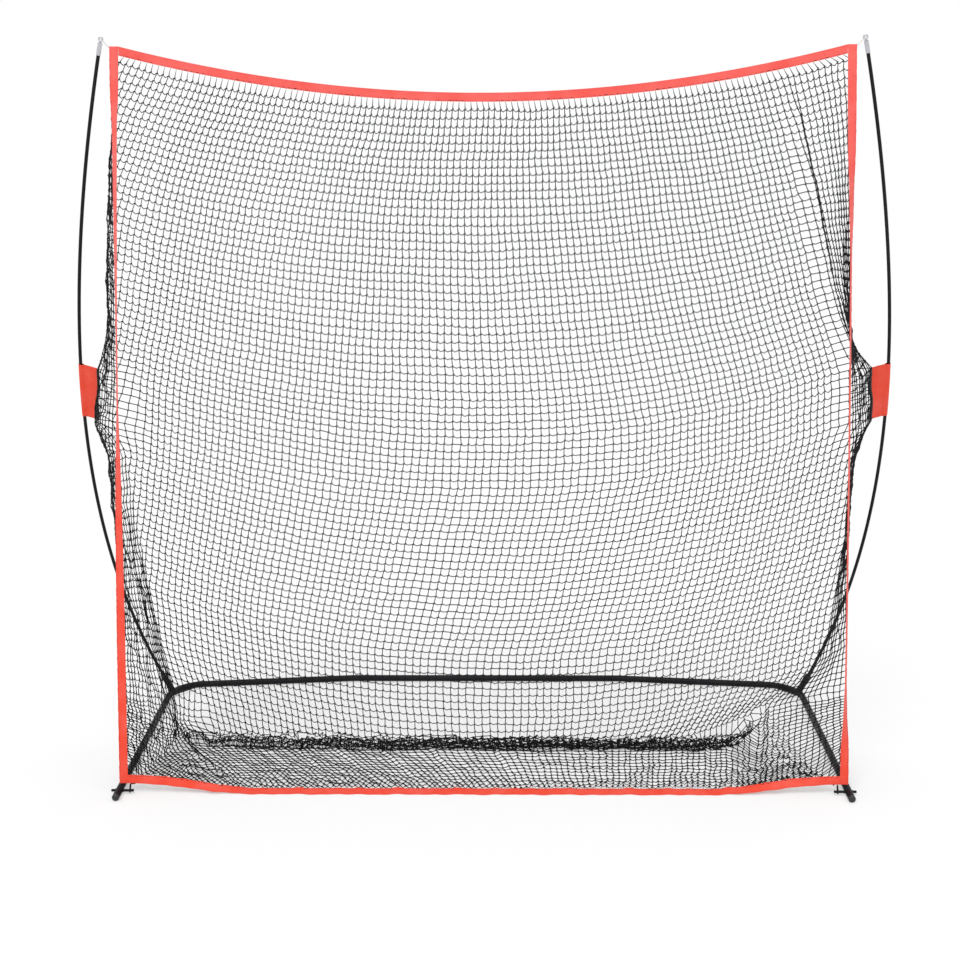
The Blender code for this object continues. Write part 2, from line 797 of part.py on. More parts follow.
def side_binding_across(side, v):
    """Outward direction of a side binding's width: the net turns its outer edge back."""
    _, back = opening_lean()
    turn = SIDE_TURN * ease(v / SIDE_TURN_SHARE) * ease((1 - v) / SIDE_TURN_SHARE)
    return Vector((side * math.cos(turn), 0, 0)) - back * -math.sin(turn)


def side_binding_point(side, v, distance):
    """Point this far outwards from the middle of the side binding."""
    return side_binding_centre(side, v) + side_binding_across(side, v) * distance


def top_binding_point(u, distance):
    """Point this far above the middle of the top binding, from left (u = -1) to right (u = 1)."""
    upward, _ = opening_lean()
    half_span = SIDE_TOP_X - BINDING_WIDTH / 2 - NET_SEAM_GAP
    height = TOP_CORNER_HEIGHT - BINDING_WIDTH / 2 - TOP_SAG * (1 - u * u)
    return at(half_span * u, TOP_CORNER_DEPTH, height) + upward * distance


def bottom_binding_point(u, distance):
    """Point this far up the width of the bottom binding, from its lower edge."""
    half_span = SIDE_BOTTOM_X - BINDING_WIDTH / 2 - NET_SEAM_GAP
    lift = ease((abs(u) * half_span - (half_span - BOTTOM_RISE_LENGTH)) / BOTTOM_RISE_LENGTH)
    upward, _ = opening_lean()
    lean = math.atan2(upward.z, upward.y)
    tilt = mix(BOTTOM_FLOOR_TILT, lean, lift)
    floor = FLOOR_CLEARANCE + BINDING_THICKNESS / 2
    height = mix(floor, BOTTOM_CORNER_HEIGHT, lift)
    edge = at(half_span * u, BOTTOM_CORNER_DEPTH * lift, height)
    return edge + Vector((0, math.cos(tilt), math.sin(tilt))) * distance


def make_bindings():
    half = BINDING_WIDTH / 2
    for word, side in SIDES:
        stations = [
            (side_binding_point(side, v, -half), side_binding_point(side, v, half))
            for v in row_lines()
        ]
        band = strip(f"net_binding_{word}", stations, BINDING_THICKNESS)
        add_finish(band, "red_webbing")
    stations = [(top_binding_point(u, -half), top_binding_point(u, half)) for u in column_lines()]
    add_finish(strip("net_binding_top", stations, BINDING_THICKNESS), "red_webbing")
    stations = [
        (bottom_binding_point(u, 0), bottom_binding_point(u, BINDING_WIDTH))
        for u in column_lines()
    ]
    add_finish(strip("net_binding_bottom", stations, BINDING_THICKNESS), "red_webbing")


def distance_at_height(path, height):
    """Distance along a rising path at which it reaches this height."""
    total = lengths_along(path)
    for index in range(1, len(path)):
        if path[index].z >= height:
            share = (height - path[index - 1].z) / (path[index].z - path[index - 1].z)
            return mix(total[index - 1], total[index], share)
    return total[-1]


def tab_station(side, v):
    """Pole point, flap direction and its normal at height share v of the tab, 0 at its foot."""
    path = pole_path(side)
    middle = distance_at_height(path, TAB_CENTRE_HEIGHT)
    distance = middle + (v - 0.5) * TAB_HEIGHT
    point = point_along(path, distance)
    way = (point_along(path, middle + 0.01) - point_along(path, middle - 0.01)).normalized()
    flap = Vector((-side * math.cos(TAB_TURN), -math.sin(TAB_TURN), 0))
    flap = (flap - way * flap.dot(way)).normalized()
    return point, flap, way.cross(flap)


def tab_width(v):
    """Reach of the flap from the pole's axis, with a wavy inner edge."""
    wave = TAB_WAVE * (0.5 - 0.5 * math.cos(2 * math.pi * TAB_WAVES * v))
    return mix(TAB_FOOT_WIDTH, TAB_TOP_WIDTH, v) - wave


def tab_section():
    """Folded sheet round the pole, as (towards the net, across) pairs from one flap end to the other."""
    radius = POLE_RADIUS + FIT + TAB_THICKNESS
    spread = (TAB_THICKNESS + FIT) / 2
    wrap = [
        (radius * math.cos(angle), radius * math.sin(angle))
        for angle in (mix(TAB_WRAP_FROM, 2 * math.pi - TAB_WRAP_FROM, k / 8) for k in range(9))
    ]
    shares = (0, 1 / 3, 2 / 3)
    near = [(1 - s, mix(spread, wrap[0][1], s), mix(0, wrap[0][0], s)) for s in shares]
    return near, wrap


def tab_point(side, i, v):
    """Corner i of the sheet's section at height share v."""
    point, flap, across = tab_station(side, v)
    near, wrap = tab_section()
    width = tab_width(v)
    count = len(near)
    if i < count:
        share, out, base = near[i]
        return point + flap * (share * width + base) + across * out
    if i < count + len(wrap):
        reach, out = wrap[i - count]
        return point + flap * reach + across * out
    share, out, base = near[2 * count + len(wrap) - 1 - i]
    return point + flap * (share * width + base) - across * out


def make_tabs():
    near, wrap = tab_section()
    columns = 2 * len(near) + len(wrap) - 1
    rows = 6
    for word, side in SIDES:
        name = f"side_tab_{word}"
        tab = grid_surface(name, columns, rows, lambda i, j, s=side: tab_point(s, i, j / rows))
        add_thickness(tab, TAB_THICKNESS)
        add_finish(tab, "red_cloth")


def fold_corners(side):
    """Points of the net's fold from the top corner, along the tab's seam, to the floor."""
    seam = NET_SEAM_GAP + NET_THICKNESS / 2
    points = [top_binding_point(side, -BINDING_WIDTH / 2 - NET_SEAM_GAP)]
    for v in (1, 0):
        point, flap, _ = tab_station(side, v)
        points.append(point + flap * (tab_width(v) + seam))
    floor = NET_FLOOR_HEIGHT + NET_THICKNESS / 2 + NET_SEAM_GAP
    points.append(at(side * NET_CORNER_X, NET_CORNER_DEPTH, floor))
    return points


def fold_point(side, height):
    """The net's fold at this height."""
    corners = fold_corners(side)
    for upper, lower in zip(corners, corners[1:]):
        if height >= lower.z or lower is corners[-1]:
            return lower.lerp(upper, (height - lower.z) / (upper.z - lower.z))


def back_middle_depth(height):
    """Depth of the back of the net on the centre line: furthest back at mid height."""
    top = top_binding_point(0, -BINDING_WIDTH / 2).z
    if height > NET_MIDDLE_HEIGHT:
        share = (height - NET_MIDDLE_HEIGHT) / (top - NET_MIDDLE_HEIGHT)
        return mix(NET_MIDDLE_DEPTH, TOP_CORNER_DEPTH, ease(share))
    share = height / NET_MIDDLE_HEIGHT
    return mix(NET_FLOOR_DEPTH, NET_MIDDLE_DEPTH, ease(share))


def back_point(u, v):
    """The back of the net, u across from -1 to 1 and v down from 0 to 1."""
    top = top_binding_point(u, -BINDING_WIDTH / 2 - NET_SEAM_GAP)
    floor = NET_FLOOR_HEIGHT + NET_THICKNESS / 2 + NET_SEAM_GAP
    height = mix(top.z, floor, v)
    side = -1 if u < 0 else 1
    fold = fold_point(side, mix(fold_corners(side)[0].z, floor, v))
    x = abs(u) * (fold.x - side * NET_FOLD_INSET)
    fold_depth = fold.y + MIDDLE_DEPTH
    depth = mix(back_middle_depth(height), fold_depth, u * u)
    place = at(x, depth, height)
    return place.lerp(top, 1 - ease(v / row_lines()[2])) if v < row_lines()[2] else place


def side_point(side, t, v):
    """A side of the net, from the binding (t = 0) to the fold (t = 1), v down from 0 to 1."""
    start = side_binding_point(side, v, BINDING_WIDTH / 2 + NET_SEAM_GAP)
    corners = fold_corners(side)
    end = fold_point(side, mix(corners[0].z, corners[-1].z, v))
    inset = NET_FOLD_INSET / (end - start).length
    return start.lerp(end, t * (1 - inset))


def floor_point(u, t):
    """The net on the floor, from the bottom binding (t = 0) back to the fold (t = 1)."""
    start = bottom_binding_point(u, BINDING_WIDTH + NET_SEAM_GAP)
    side = -1 if u < 0 else 1
    depth = mix(NET_FLOOR_DEPTH, NET_CORNER_DEPTH, u * u) - NET_FOLD_INSET
    end = at(abs(u) * side * (NET_CORNER_X - NET_FOLD_INSET), depth, NET_FLOOR_HEIGHT)
    place = start.lerp(end, t)
    place.z = mix(NET_FLOOR_HEIGHT, start.z, (1 - t) ** 3)
    return place


def make_net():
    columns, rows = column_lines(), row_lines()

    def back(i, j):
        return back_point(columns[i], rows[j])

    panel = grid_surface("net_back_panel", len(columns) - 1, len(rows) - 1, back, True)
    add_thickness(panel, NET_THICKNESS)
    add_finish(panel, "black_netting")

    side_rows = rows[2:]
    side_count = 2 * SIDE_COLUMNS + 1
    for word, side in SIDES:

        def flank(i, j, side=side):
            v = side_rows[j]
            width = (side_point(side, 1, v) - side_point(side, 0, v)).length
            lines = lattice_lines(SIDE_COLUMNS, min(NET_BAR / width, 0.4 / SIDE_COLUMNS))
            return side_point(side, lines[i], v)

        panel = grid_surface(f"net_side_panel_{word}", side_count, len(side_rows) - 1, flank, True)
        add_thickness(panel, NET_THICKNESS)
        add_finish(panel, "black_netting")

    floor_lines = lattice_lines(FLOOR_ROWS, NET_BAR / NET_FLOOR_DEPTH)

    def floor(i, j):
        return floor_point(columns[i], floor_lines[j])

    panel = grid_surface("net_floor_panel", len(columns) - 1, len(floor_lines) - 1, floor, True)
    add_thickness(panel, NET_THICKNESS)
    add_finish(panel, "black_netting")


# ---------------------------------------------------------------- corner loops


def racetrack(first, second, radius, across, steps=6):
    """Closed path round two centres, in the plane of their line and the direction across."""
    along = (second - first).normalized()
    across = (across - along * across.dot(along)).normalized()
    points = []
    for centre, turn in ((first, math.pi / 2), (second, -math.pi / 2)):
        for step in range(steps + 1):
            angle = turn + math.pi * step / steps
            points.append(centre + (along * math.cos(angle) + across * math.sin(angle)) * radius)
    return points


def make_top_loops():
    """Elastic loops through the eyes, stitched to the outer top corners of the binding."""
    for word, side in SIDES:
        eye = tip_matrix(side, EYE_HEIGHT).translation
        gap = FIT + TOP_LOOP_RADIUS
        corner = side_binding_point(side, 0, BINDING_WIDTH / 2 + gap) - UP * (2 * gap)
        radius = EYE_THICKNESS / 2 + gap
        along = (corner - eye).normalized()
        ends = eye + along * radius, corner - along * radius
        points = racetrack(ends[0], ends[1], radius, BACK)
        loop = swept(f"top_corner_loop_{word}", points, TOP_LOOP_RADIUS, CORD_SIDES, cyclic=True)
        add_finish(as_mesh(loop), "white_elastic")


def make_bottom_loops():
    """Cord loops from the lower corners of the binding round the inner ends of the hook bars."""
    for word, side in SIDES:
        x = side * (LEG_X - HOOK_BAR_INNER_REACH + BOTTOM_LOOP_FROM_END)
        bar = crossbar_height_at(x, HOOK_BAR_DEPTH)
        radius = HOOK_BAR_RADIUS + FIT + BOTTOM_LOOP_RADIUS
        top = BOTTOM_CORNER_HEIGHT - FIT - BOTTOM_LOOP_RADIUS - BINDING_THICKNESS / 2
        upper = at(x, BOTTOM_CORNER_DEPTH, top - radius)
        points = racetrack(bar, upper, radius, BACK)
        name = f"bottom_corner_loop_{word}"
        loop = swept(name, points, BOTTOM_LOOP_RADIUS, CORD_SIDES, cyclic=True)
        add_finish(as_mesh(loop), "black_netting")


make_crossbar()
make_corner_tubes()
make_legs()
make_foot_plugs()
make_hook_bars()
make_braces()
make_snap_buttons()
make_snap_springs()
make_sockets()
make_poles()
make_spigots()
make_ferrules()
make_eyes()
make_bindings()
make_tabs()
make_net()
make_top_loops()
make_bottom_loops()
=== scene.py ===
"""Finished surfaces of a seven-foot practice net, built round its measured frame.

Units are metres, +Z is up and the open front faces -Y. Depths are measured back from the line on
which the front of the net lies, and at() moves them to the frame's origin.
"""

import math

import bmesh
import bpy
import numpy as np
from bpy.props import FloatProperty, FloatVectorProperty, IntProperty, PointerProperty
from bpy.types import Operator, Panel, PropertyGroup
from mathutils import Matrix, Vector


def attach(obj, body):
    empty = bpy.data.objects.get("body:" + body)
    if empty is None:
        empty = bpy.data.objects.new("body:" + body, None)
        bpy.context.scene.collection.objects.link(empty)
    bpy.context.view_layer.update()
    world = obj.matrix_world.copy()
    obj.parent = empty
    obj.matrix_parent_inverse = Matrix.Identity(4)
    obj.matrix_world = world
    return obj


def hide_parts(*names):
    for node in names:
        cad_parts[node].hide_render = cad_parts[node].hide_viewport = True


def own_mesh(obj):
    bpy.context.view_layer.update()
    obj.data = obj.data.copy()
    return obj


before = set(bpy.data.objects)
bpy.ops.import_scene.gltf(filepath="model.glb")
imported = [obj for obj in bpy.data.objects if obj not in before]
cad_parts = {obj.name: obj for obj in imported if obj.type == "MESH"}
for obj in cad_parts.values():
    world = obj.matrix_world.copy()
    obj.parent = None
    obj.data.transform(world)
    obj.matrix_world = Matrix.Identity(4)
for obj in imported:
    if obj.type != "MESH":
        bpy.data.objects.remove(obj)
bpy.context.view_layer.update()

bl_info = {
    "name": "Practice Net Builder",
    "version": (1, 0, 0),
    "blender": (4, 5, 0),
    "location": "View3D > Sidebar > Practice Net",
    "description": "Builds the finished pieces of a practice net on its frame",
    "category": "Add Mesh",
}

# ---------------------------------------------------------------- places on the frame

BODY = "net_and_frame"
SIDES = (("left", -1), ("right", 1))
UP = Vector((0, 0, 1))
RIGHT = Vector((1, 0, 0))
BACK = Vector((0, 1, 0))

MIDDLE_DEPTH = 0.4393126
LEG_X = 1.085
TUBE_AXIS_HEIGHT = 0.010625
LEG_FRONT = -0.040
LEG_JOINT_DEPTH = 0.660
CROSSBAR_DEPTH = 0.920
CROSSBAR_JOINT_X = 0.444
CROSSBAR_STUB = 0.020
NECK_LENGTH = 0.060
NECK_RADIUS = 0.0090
TUBE_WALL = 0.0011
SHOULDER = 0.0009
ARM_SWEEP = math.radians(6.5)
CORNER_RADIUS = 0.120
CORNER_STEPS = 24
BRACE_ANGLES = (math.radians(2), math.radians(83))
BRACE_RADIUS = 0.0024
BUTTON_FROM_SHOULDER = 0.030
BUTTON_HOLE_RADIUS = 0.0035
# Leaf springs under the buttons: front and back along the neck, leaves over the tube's axis
SPRING_THICKNESS = 0.0006
SPRING_WIDTH = 0.0070
SPRING_BACK = 0.020
SPRING_FRONT = 0.018
SPRING_LOWER_LEAF = -0.0065
SPRING_UPPER_LEAF = 0.0049
SPRING_BEND_STEPS = 12
HOOK_BAR_DEPTH = 0.004
HOOK_BAR_REACH = (0.044, 0.024)
HOOK_BAR_RADIUS = 0.0041
HOOK_HOLE_RADIUS = 0.0046
HOOK_WELD_REACH = 0.0112
WELD_LUMPS = 14
SOCKET_LENGTH = 0.075
SOCKET_TUBE_START = 0.0085
SOCKET_AROUND_CORNER = math.radians(22)
SOCKET_SPLAY = math.radians(21.4)
SOCKET_RAKE = math.radians(14.8)
SOCKET_BUSH_BOTTOM = 0.0148
BUSH_FLANGE = 0.003
POLE_TOP = (1.0815, 0.298, 2.162)
POLE_TOP_LEAN_IN = math.radians(13.4)
POLE_TOP_LEAN_FORWARD = math.radians(6.1)
POLE_HANDLES = (0.602, 0.874)
POLE_SECTIONS = ("lower", "middle", "upper")
POLE_STEPS = 240
POLE_CUT_GAP = 0.0002
FERRULE_POLE_DEPTH = 0.030
EYE_HEIGHT = 0.0153
EYE_RADIUS = 0.0078
EYE_HOLE_RADIUS = 0.0030
EYE_THICKNESS = 0.0045
STEM_FOOT = 0.0036

BINDING_WIDTH = 0.0254
TAPE_FACES = 8
SEAM_ALLOWANCE = 0.003
SIDE_TOP_X = 1.0433
SIDE_BOTTOM_X = 1.0723
SIDE_BOW = 0.004
TOP_CORNER_DEPTH = 0.300
TOP_CORNER_HEIGHT = 2.157
TOP_SAG = 0.130
BOTTOM_CORNER_DEPTH = 0.012
BOTTOM_CORNER_HEIGHT = 0.030
BOTTOM_RISE_LENGTH = 0.380
BOTTOM_FLOOR_TILT = math.radians(18)
BOTTOM_FLOOR_HEIGHT = 0.0013
ELASTIC_RADIUS = 0.0010
CORD_LOOP_RADIUS = 0.0015

TAB_CENTRE_HEIGHT = 1.132
TAB_HEIGHT = 0.175
TAB_TOP_WIDTH = 0.071
TAB_FOOT_WIDTH = 0.056
TAB_TURN = math.radians(26)
TAB_WAVE = 0.004
TAB_STEPS = 44
FLAP_STEPS = 14
WRAP_STEPS = 14
WRAP_RADIUS = 0.0064
WRAP_START = math.radians(75)
HEM_FACES = 8
HEM_THICKNESS = 0.0007

# Turn of each side binding out of the opening's plane: share down the side, degrees
SIDE_TURNS = {
    -1: (
        (0, 0), (0.05, 8), (0.10, 45), (0.18, 54), (0.27, 62), (0.35, 70), (0.48, 70),
        (0.56, 46), (0.61, 34), (0.70, 18), (0.80, 4), (1, 0),
    ),
    1: (
        (0, 0), (0.10, 10), (0.14, 22), (0.18, 46), (0.22, 54), (0.27, 70), (0.86, 70),
        (0.91, 52), (0.95, 14), (1, 0),
    ),
}

# The net's fold between a side and the back: height, meshes in from the edge, distance from the
# middle, depth
NET_FOLDS = {
    -1: (
        (0.006, 20.0, 0.975, 0.400), (0.190, 21.0, 1.000, 0.420), (0.310, 21.0, 1.030, 0.435),
        (0.496, 20.0, 1.063, 0.450), (0.645, 18.2, 1.082, 0.455), (0.830, 15.8, 1.098, 0.460),
        (0.950, 14.2, 1.112, 0.460), (1.046, 13.0, 1.124, 0.456), (1.218, 11.2, 1.138, 0.436),
        (1.310, 10.2, 1.139, 0.420), (1.400, 9.4, 1.130, 0.405), (1.660, 7.6, 1.108, 0.375),
        (1.800, 6.2, 1.090, 0.355), (1.970, 3.8, 1.062, 0.330), (2.134, 0.0, 1.034, 0.302),
    ),
    1: (
        (0.125, 13.0, 0.905, 0.385), (0.205, 11.2, 0.985, 0.368), (0.285, 9.6, 1.046, 0.350),
        (0.410, 8.8, 1.076, 0.348), (0.490, 9.0, 1.088, 0.360), (0.670, 10.0, 1.117, 0.390),
        (0.830, 11.0, 1.125, 0.420), (0.950, 11.6, 1.136, 0.438), (1.046, 12.0, 1.142, 0.440),
        (1.218, 12.0, 1.132, 0.424), (1.320, 11.9, 1.102, 0.410), (1.450, 11.6, 1.056, 0.395),
        (1.660, 11.2, 0.998, 0.370), (1.920, 10.6, 0.926, 0.330), (2.090, 10.2, 0.870, 0.302),
    ),
}
# Middle of the net's back: row of knots, height, depth
NET_MIDDLE = (
    (0, 2.000, 0.300), (12, 1.723, 0.330), (24, 1.426, 0.367), (36, 1.119, 0.387),
    (50, 0.790, 0.397), (63, 0.480, 0.392), (76, 0.183, 0.382), (83, 0.018, 0.374),
)
# How far a side of the net swells outwards between its tape and the fold: row, distance
SIDE_SWELLS = {
    -1: (
        (1, 0.0), (20, 0.006), (41, 0.010), (50, 0.036), (58, 0.036), (66, 0.012), (76, -0.010),
        (92, -0.016), (117, 0.0),
    ),
    1: ((1, 0.0), (14, 0.008), (41, 0.004), (50, 0.016), (56, 0.008), (64, 0.0), (117, 0.0)),
}
# Largest slip of a loose knot on each side of the net
SIDE_JUMBLES = {-1: 0.0060, 1: 0.0035}
# Share down each side tape at which rows of knots are sewn on: row, share
SIDE_PINS = ((0, 0.006), (41, 0.445), (48, 0.520), (88, 0.875), (117, 0.985))
TAB_KNOTS = (41, 48)
TAB_SEAM_HEIGHTS = (1.218, 1.046)
TAB_PULL_MESHES = 5
CREASE_MESHES = 4
FOLD_STEP = 0.0237
SIDE_MESHES = 14
FLOOR_ROW = 84
BACK_CUTS = (28, 56)
KNOT_WOBBLE = 0.0022
MOST_SAG = 0.0070
# Least heights over the floor: of a knot's middle, and of the cord
KNOT_LEAST_HEIGHT = 0.0015
CORD_LEAST_HEIGHT = 0.0012
# Where the netting lies on the floor: height, and the front end of its side edges
LAID_HEIGHT = 0.004
LAID_CORNER = (1.062, 0.022, 0.020)
# The heap along the back of the floor, and the bunch behind the left leg
HEAP_DEPTH = 0.056
HEAP_TOP = 0.022
HEAP_LIMIT = 0.090
HEAP_FOLD = 0.14
HEAP_GATHER = 0.12
BUNCH_PLACE = (-0.990, 0.400, 0.060)
BUNCH_REACH = 0.120
# Half of the width of the floor, which reaches past the camera
FLOOR_REACH = 190


# ---------------------------------------------------------------- sizes and colours


def length_setting(name, description, default):
    return FloatProperty(name=name, description=description, default=default, unit="LENGTH")


def angle_setting(name, description, degrees):
    return FloatProperty(
        name=name, description=description, default=math.radians(degrees), subtype="ANGLE"
    )


def colour_setting(name, description, default):
    return FloatVectorProperty(
        name=name, description=description, default=default, subtype="COLOR"
    )


class NettingSettings(PropertyGroup):
    columns: IntProperty(name="Columns", description="Meshes across the net", default=126)
    rows: IntProperty(name="Rows", description="Meshes down the net", default=117)
    mesh_width: length_setting("Mesh width", "Length of cord between two knots of a row", 0.0264)
    mesh_height: length_setting(
        "Mesh height", "Length of cord between two knots of a column", 0.0243
    )
    cord_radius: length_setting("Cord radius", "Radius of the netting cord", 0.00142)
    knot_radius: length_setting("Knot radius", "Radius of the cord in a knot", 0.00235)
    knot_reach: length_setting(
        "Knot reach", "Distance of a knot's two lobes from its middle", 0.0021
    )
    colour: colour_setting("Colour", "Colour of the netting", (0.006, 0.006, 0.007))


class BindingSettings(PropertyGroup):
    thickness: length_setting("Thickness", "Thickness of the folded tape", 0.0018)
    wave: length_setting("Wave", "Depth of the waves in the lower tape's edge", 0.0040)
    # Painted light: the tape is given a lighter colour at the top of the net and a darker one
    # near the floor, for how the light falls on it
    high_colour: colour_setting(
        "High colour", "Colour of the tape at the top of the net", (0.93, 0.105, 0.085)
    )
    low_colour: colour_setting(
        "Low colour", "Colour of the tape near the floor", (0.90, 0.065, 0.030)
    )


class TabSettings(PropertyGroup):
    thickness: length_setting("Thickness", "Thickness of the tab's cloth", 0.0008)
    crease: length_setting("Crease", "Depth of the creases in the flaps", 0.0011)
    colour: colour_setting("Colour", "Colour of the cloth", (0.86, 0.050, 0.014))
    hem_colour: colour_setting("Hem colour", "Colour of the hem", (0.012, 0.012, 0.013))


class FrameSettings(PropertyGroup):
    tube_radius: length_setting("Tube radius", "Outer radius of the steel tubes", 0.0107)
    tube_bore: length_setting("Tube bore", "Inner radius of the steel tubes", 0.0096)
    pole_radius: length_setting("Pole radius", "Radius of the bowed poles", 0.0053)
    paint_colour: colour_setting("Paint", "Colour of the painted steel", (0.0045, 0.005, 0.0065))
    pole_colour: colour_setting("Poles", "Colour of the glass fibre", (0.004, 0.004, 0.005))
    metal_colour: colour_setting("Bright metal", "Colour of the pole tips", (0.50, 0.50, 0.53))


class StageSettings(PropertyGroup):
    lens: FloatProperty(
        name="Lens", description="Focal length of the camera in millimetres", default=60.45
    )
    camera_place: FloatVectorProperty(
        name="Camera",
        description="Place of the camera",
        subtype="TRANSLATION",
        unit="LENGTH",
        default=(0.0450, -4.8525, 2.0955),
    )
    camera_down: angle_setting("Tilt", "Angle that the camera looks down", 14.345)
    camera_left: angle_setting("Pan", "Angle that the camera looks left", 0.665)
    camera_roll: angle_setting("Roll", "Roll of the camera", -0.170)
    sky: FloatProperty(name="Sky", description="Strength of the even light", default=0.70, min=0)
    sun: FloatProperty(name="Sun", description="Strength of the key light", default=1.45, min=0)
    floor_colour: colour_setting("Floor", "Colour of the floor", (0.96, 0.96, 0.96))


# ---------------------------------------------------------------- small helpers


def mix(a, b, share):
    return a + (b - a) * share


def ease(share):
    """Smooth step from 0 to 1, of a number or an array."""
    share = np.clip(share, 0.0, 1.0)
    return share * share * (3 - 2 * share)


def at(x, depth, z):
    return Vector((x, depth - MIDDLE_DEPTH, z))


def axes(origin, along, hint):
    """Placement with local Z along one direction and local X as near the hint as it can be."""
    z = along.normalized()
    x = (hint - z * hint.dot(z)).normalized()
    matrix = Matrix((x, z.cross(x), z)).transposed().to_4x4()
    matrix.translation = origin
    return matrix


def lengths_along(points):
    total = [0.0]
    for before, after in zip(points, points[1:]):
        total.append(total[-1] + (after - before).length)
    return total


def point_along(points, total, distance):
    """The point this far along, with the points' running lengths given."""
    index = int(np.searchsorted(total, distance, side="left"))
    index = min(max(index, 1), len(points) - 1)
    share = (distance - total[index - 1]) / (total[index] - total[index - 1])
    return points[index - 1].lerp(points[index], share)


def ripple(place, seed):
    """A smooth number from -1 to 1 that changes over a few units of place."""
    return (
        math.sin(place * 1.31 + seed * 1.7)
        + math.sin(place * 2.17 + seed * 0.9)
        + math.sin(place * 3.71 + seed * 2.3)
    ) / 3


def coarse_noise(shape, scale, seed):
    """Smooth noise from -1 to 1 over a grid, with one random value every few cells."""
    counts = [int(math.ceil(size / step)) + 3 for size, step in zip(shape, scale)]
    values = np.random.default_rng(seed).uniform(-1, 1, counts)
    row, column = np.arange(shape[0]) / scale[0], np.arange(shape[1]) / scale[1]
    r, c = row.astype(int), column.astype(int)
    down, across = ease(row - r)[:, None], ease(column - c)[None]
    upper = values[np.ix_(r, c)] * (1 - across) + values[np.ix_(r, c + 1)] * across
    lower = values[np.ix_(r + 1, c)] * (1 - across) + values[np.ix_(r + 1, c + 1)] * across
    return upper * (1 - down) + lower * down


def noise_vectors(shape, scale, seeds):
    return np.stack([coarse_noise(shape, scale, seed) for seed in seeds], -1)


# ---------------------------------------------------------------- meshes


def link(name, data):
    obj = bpy.data.objects.new(name, data)
    bpy.context.scene.collection.objects.link(obj)
    return obj


def piece(name, mesh, material, nodes=(), body=BODY):
    """A finished piece that rides on a body and stands for CAD nodes."""
    obj = link(name, mesh)
    mesh.name = name
    mesh.materials.clear()
    mesh.materials.append(material)
    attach(obj, body)
    if nodes:
        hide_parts(*nodes)
    return obj


def smoothed(mesh, sharp_from=35):
    """The mesh with smooth shading, but for edges that turn more than this many degrees."""
    mesh.shade_smooth()
    mesh.set_sharp_from_angle(angle=math.radians(sharp_from))
    return mesh


def to_mesh(bm, sharp_from=35):
    mesh = bpy.data.meshes.new("shape")
    bm.to_mesh(mesh)
    bm.free()
    return smoothed(mesh, sharp_from)


def evaluated_mesh(obj):
    """The object's shape with its modifiers, after which the object is gone."""
    bpy.context.view_layer.update()
    graph = bpy.context.evaluated_depsgraph_get()
    mesh = bpy.data.meshes.new_from_object(obj.evaluated_get(graph))
    bpy.data.objects.remove(obj)
    return mesh


def clean(bm):
    """Welds corners that coincide and turns all faces outwards."""
    bmesh.ops.remove_doubles(bm, verts=bm.verts, dist=0.000001)
    bmesh.ops.recalc_face_normals(bm, faces=bm.faces)


def add_spline(curve, points, thickness=None, closed=False):
    """One run of straight steps through an array of points, with its thickness at each."""
    spline = curve.splines.new("POLY")
    spline.points.add(len(points) - 1)
    places = np.ones((len(points), 4))
    places[:, :3] = points
    spline.points.foreach_set("co", places.ravel())
    if thickness is not None:
        spline.points.foreach_set("radius", np.asarray(thickness, dtype=float))
    spline.use_cyclic_u = closed


def cord_curve(radius, sides, caps=True):
    curve = bpy.data.curves.new("cord", "CURVE")
    curve.dimensions = "3D"
    curve.bevel_depth = radius
    curve.bevel_resolution = (sides - 4) // 2
    curve.use_fill_caps = caps
    return curve


def swept(points, radius, sides, thickness=None, closed=False, caps=True):
    """Mesh of a round bar along points."""
    curve = cord_curve(radius, sides, caps and not closed)
    add_spline(curve, points, thickness, closed)
    bm = bmesh.new()
    bm.from_mesh(evaluated_mesh(link("cord", curve)))
    clean(bm)
    return to_mesh(bm)


def turned(profile, matrix, steps=40, closed=False, round_edges=0.0):
    """Mesh of a profile of (radius, height) points turned round local Z."""
    bm = bmesh.new()
    verts = [bm.verts.new((radius, 0, z)) for radius, z in profile]
    pairs = list(zip(verts, verts[1:]))
    if closed:
        pairs.append((verts[-1], verts[0]))
    edges = [bm.edges.new(pair) for pair in pairs]
    bmesh.ops.spin(
        bm, geom=verts + edges, cent=(0, 0, 0), axis=(0, 0, 1), angle=math.tau, steps=steps,
        use_merge=True,
    )
    clean(bm)
    if round_edges:
        sharp = [e for e in bm.edges if e.is_manifold and e.calc_face_angle() > math.radians(50)]
        bmesh.ops.bevel(
            bm, geom=sharp, offset=round_edges, offset_type="OFFSET", affect="EDGES", segments=2,
            profile=0.5, material=-1,
        )
    bmesh.ops.transform(bm, matrix=matrix, verts=bm.verts)
    return to_mesh(bm)


def tube(outer, inner, length, matrix):
    profile = [(outer, 0), (outer, length), (inner, length), (inner, 0)]
    return turned(profile, matrix, closed=True, round_edges=0.0003)


def join_meshes(*meshes):
    bm = bmesh.new()
    for mesh in meshes:
        bm.from_mesh(mesh)
    return to_mesh(bm)


def drilled(mesh, holes):
    """The mesh with round holes cut in it; a hole is its placement, radius and length."""
    obj = link("drilled", mesh)
    cutters = []
    for matrix, radius, length in holes:
        bm = bmesh.new()
        bmesh.ops.create_cone(
            bm, cap_ends=True, segments=24, radius1=radius, radius2=radius, depth=length,
            matrix=matrix @ Matrix.Translation((0, 0, length / 2)),
        )
        cutter = link("drill", to_mesh(bm))
        cutters.append(cutter)
        cut = obj.modifiers.new("drill", "BOOLEAN")
        cut.operation = "DIFFERENCE"
        cut.solver = "EXACT"
        cut.object = cutter
    made = evaluated_mesh(obj)
    for cutter in cutters:
        bpy.data.objects.remove(cutter)
    return smoothed(made)


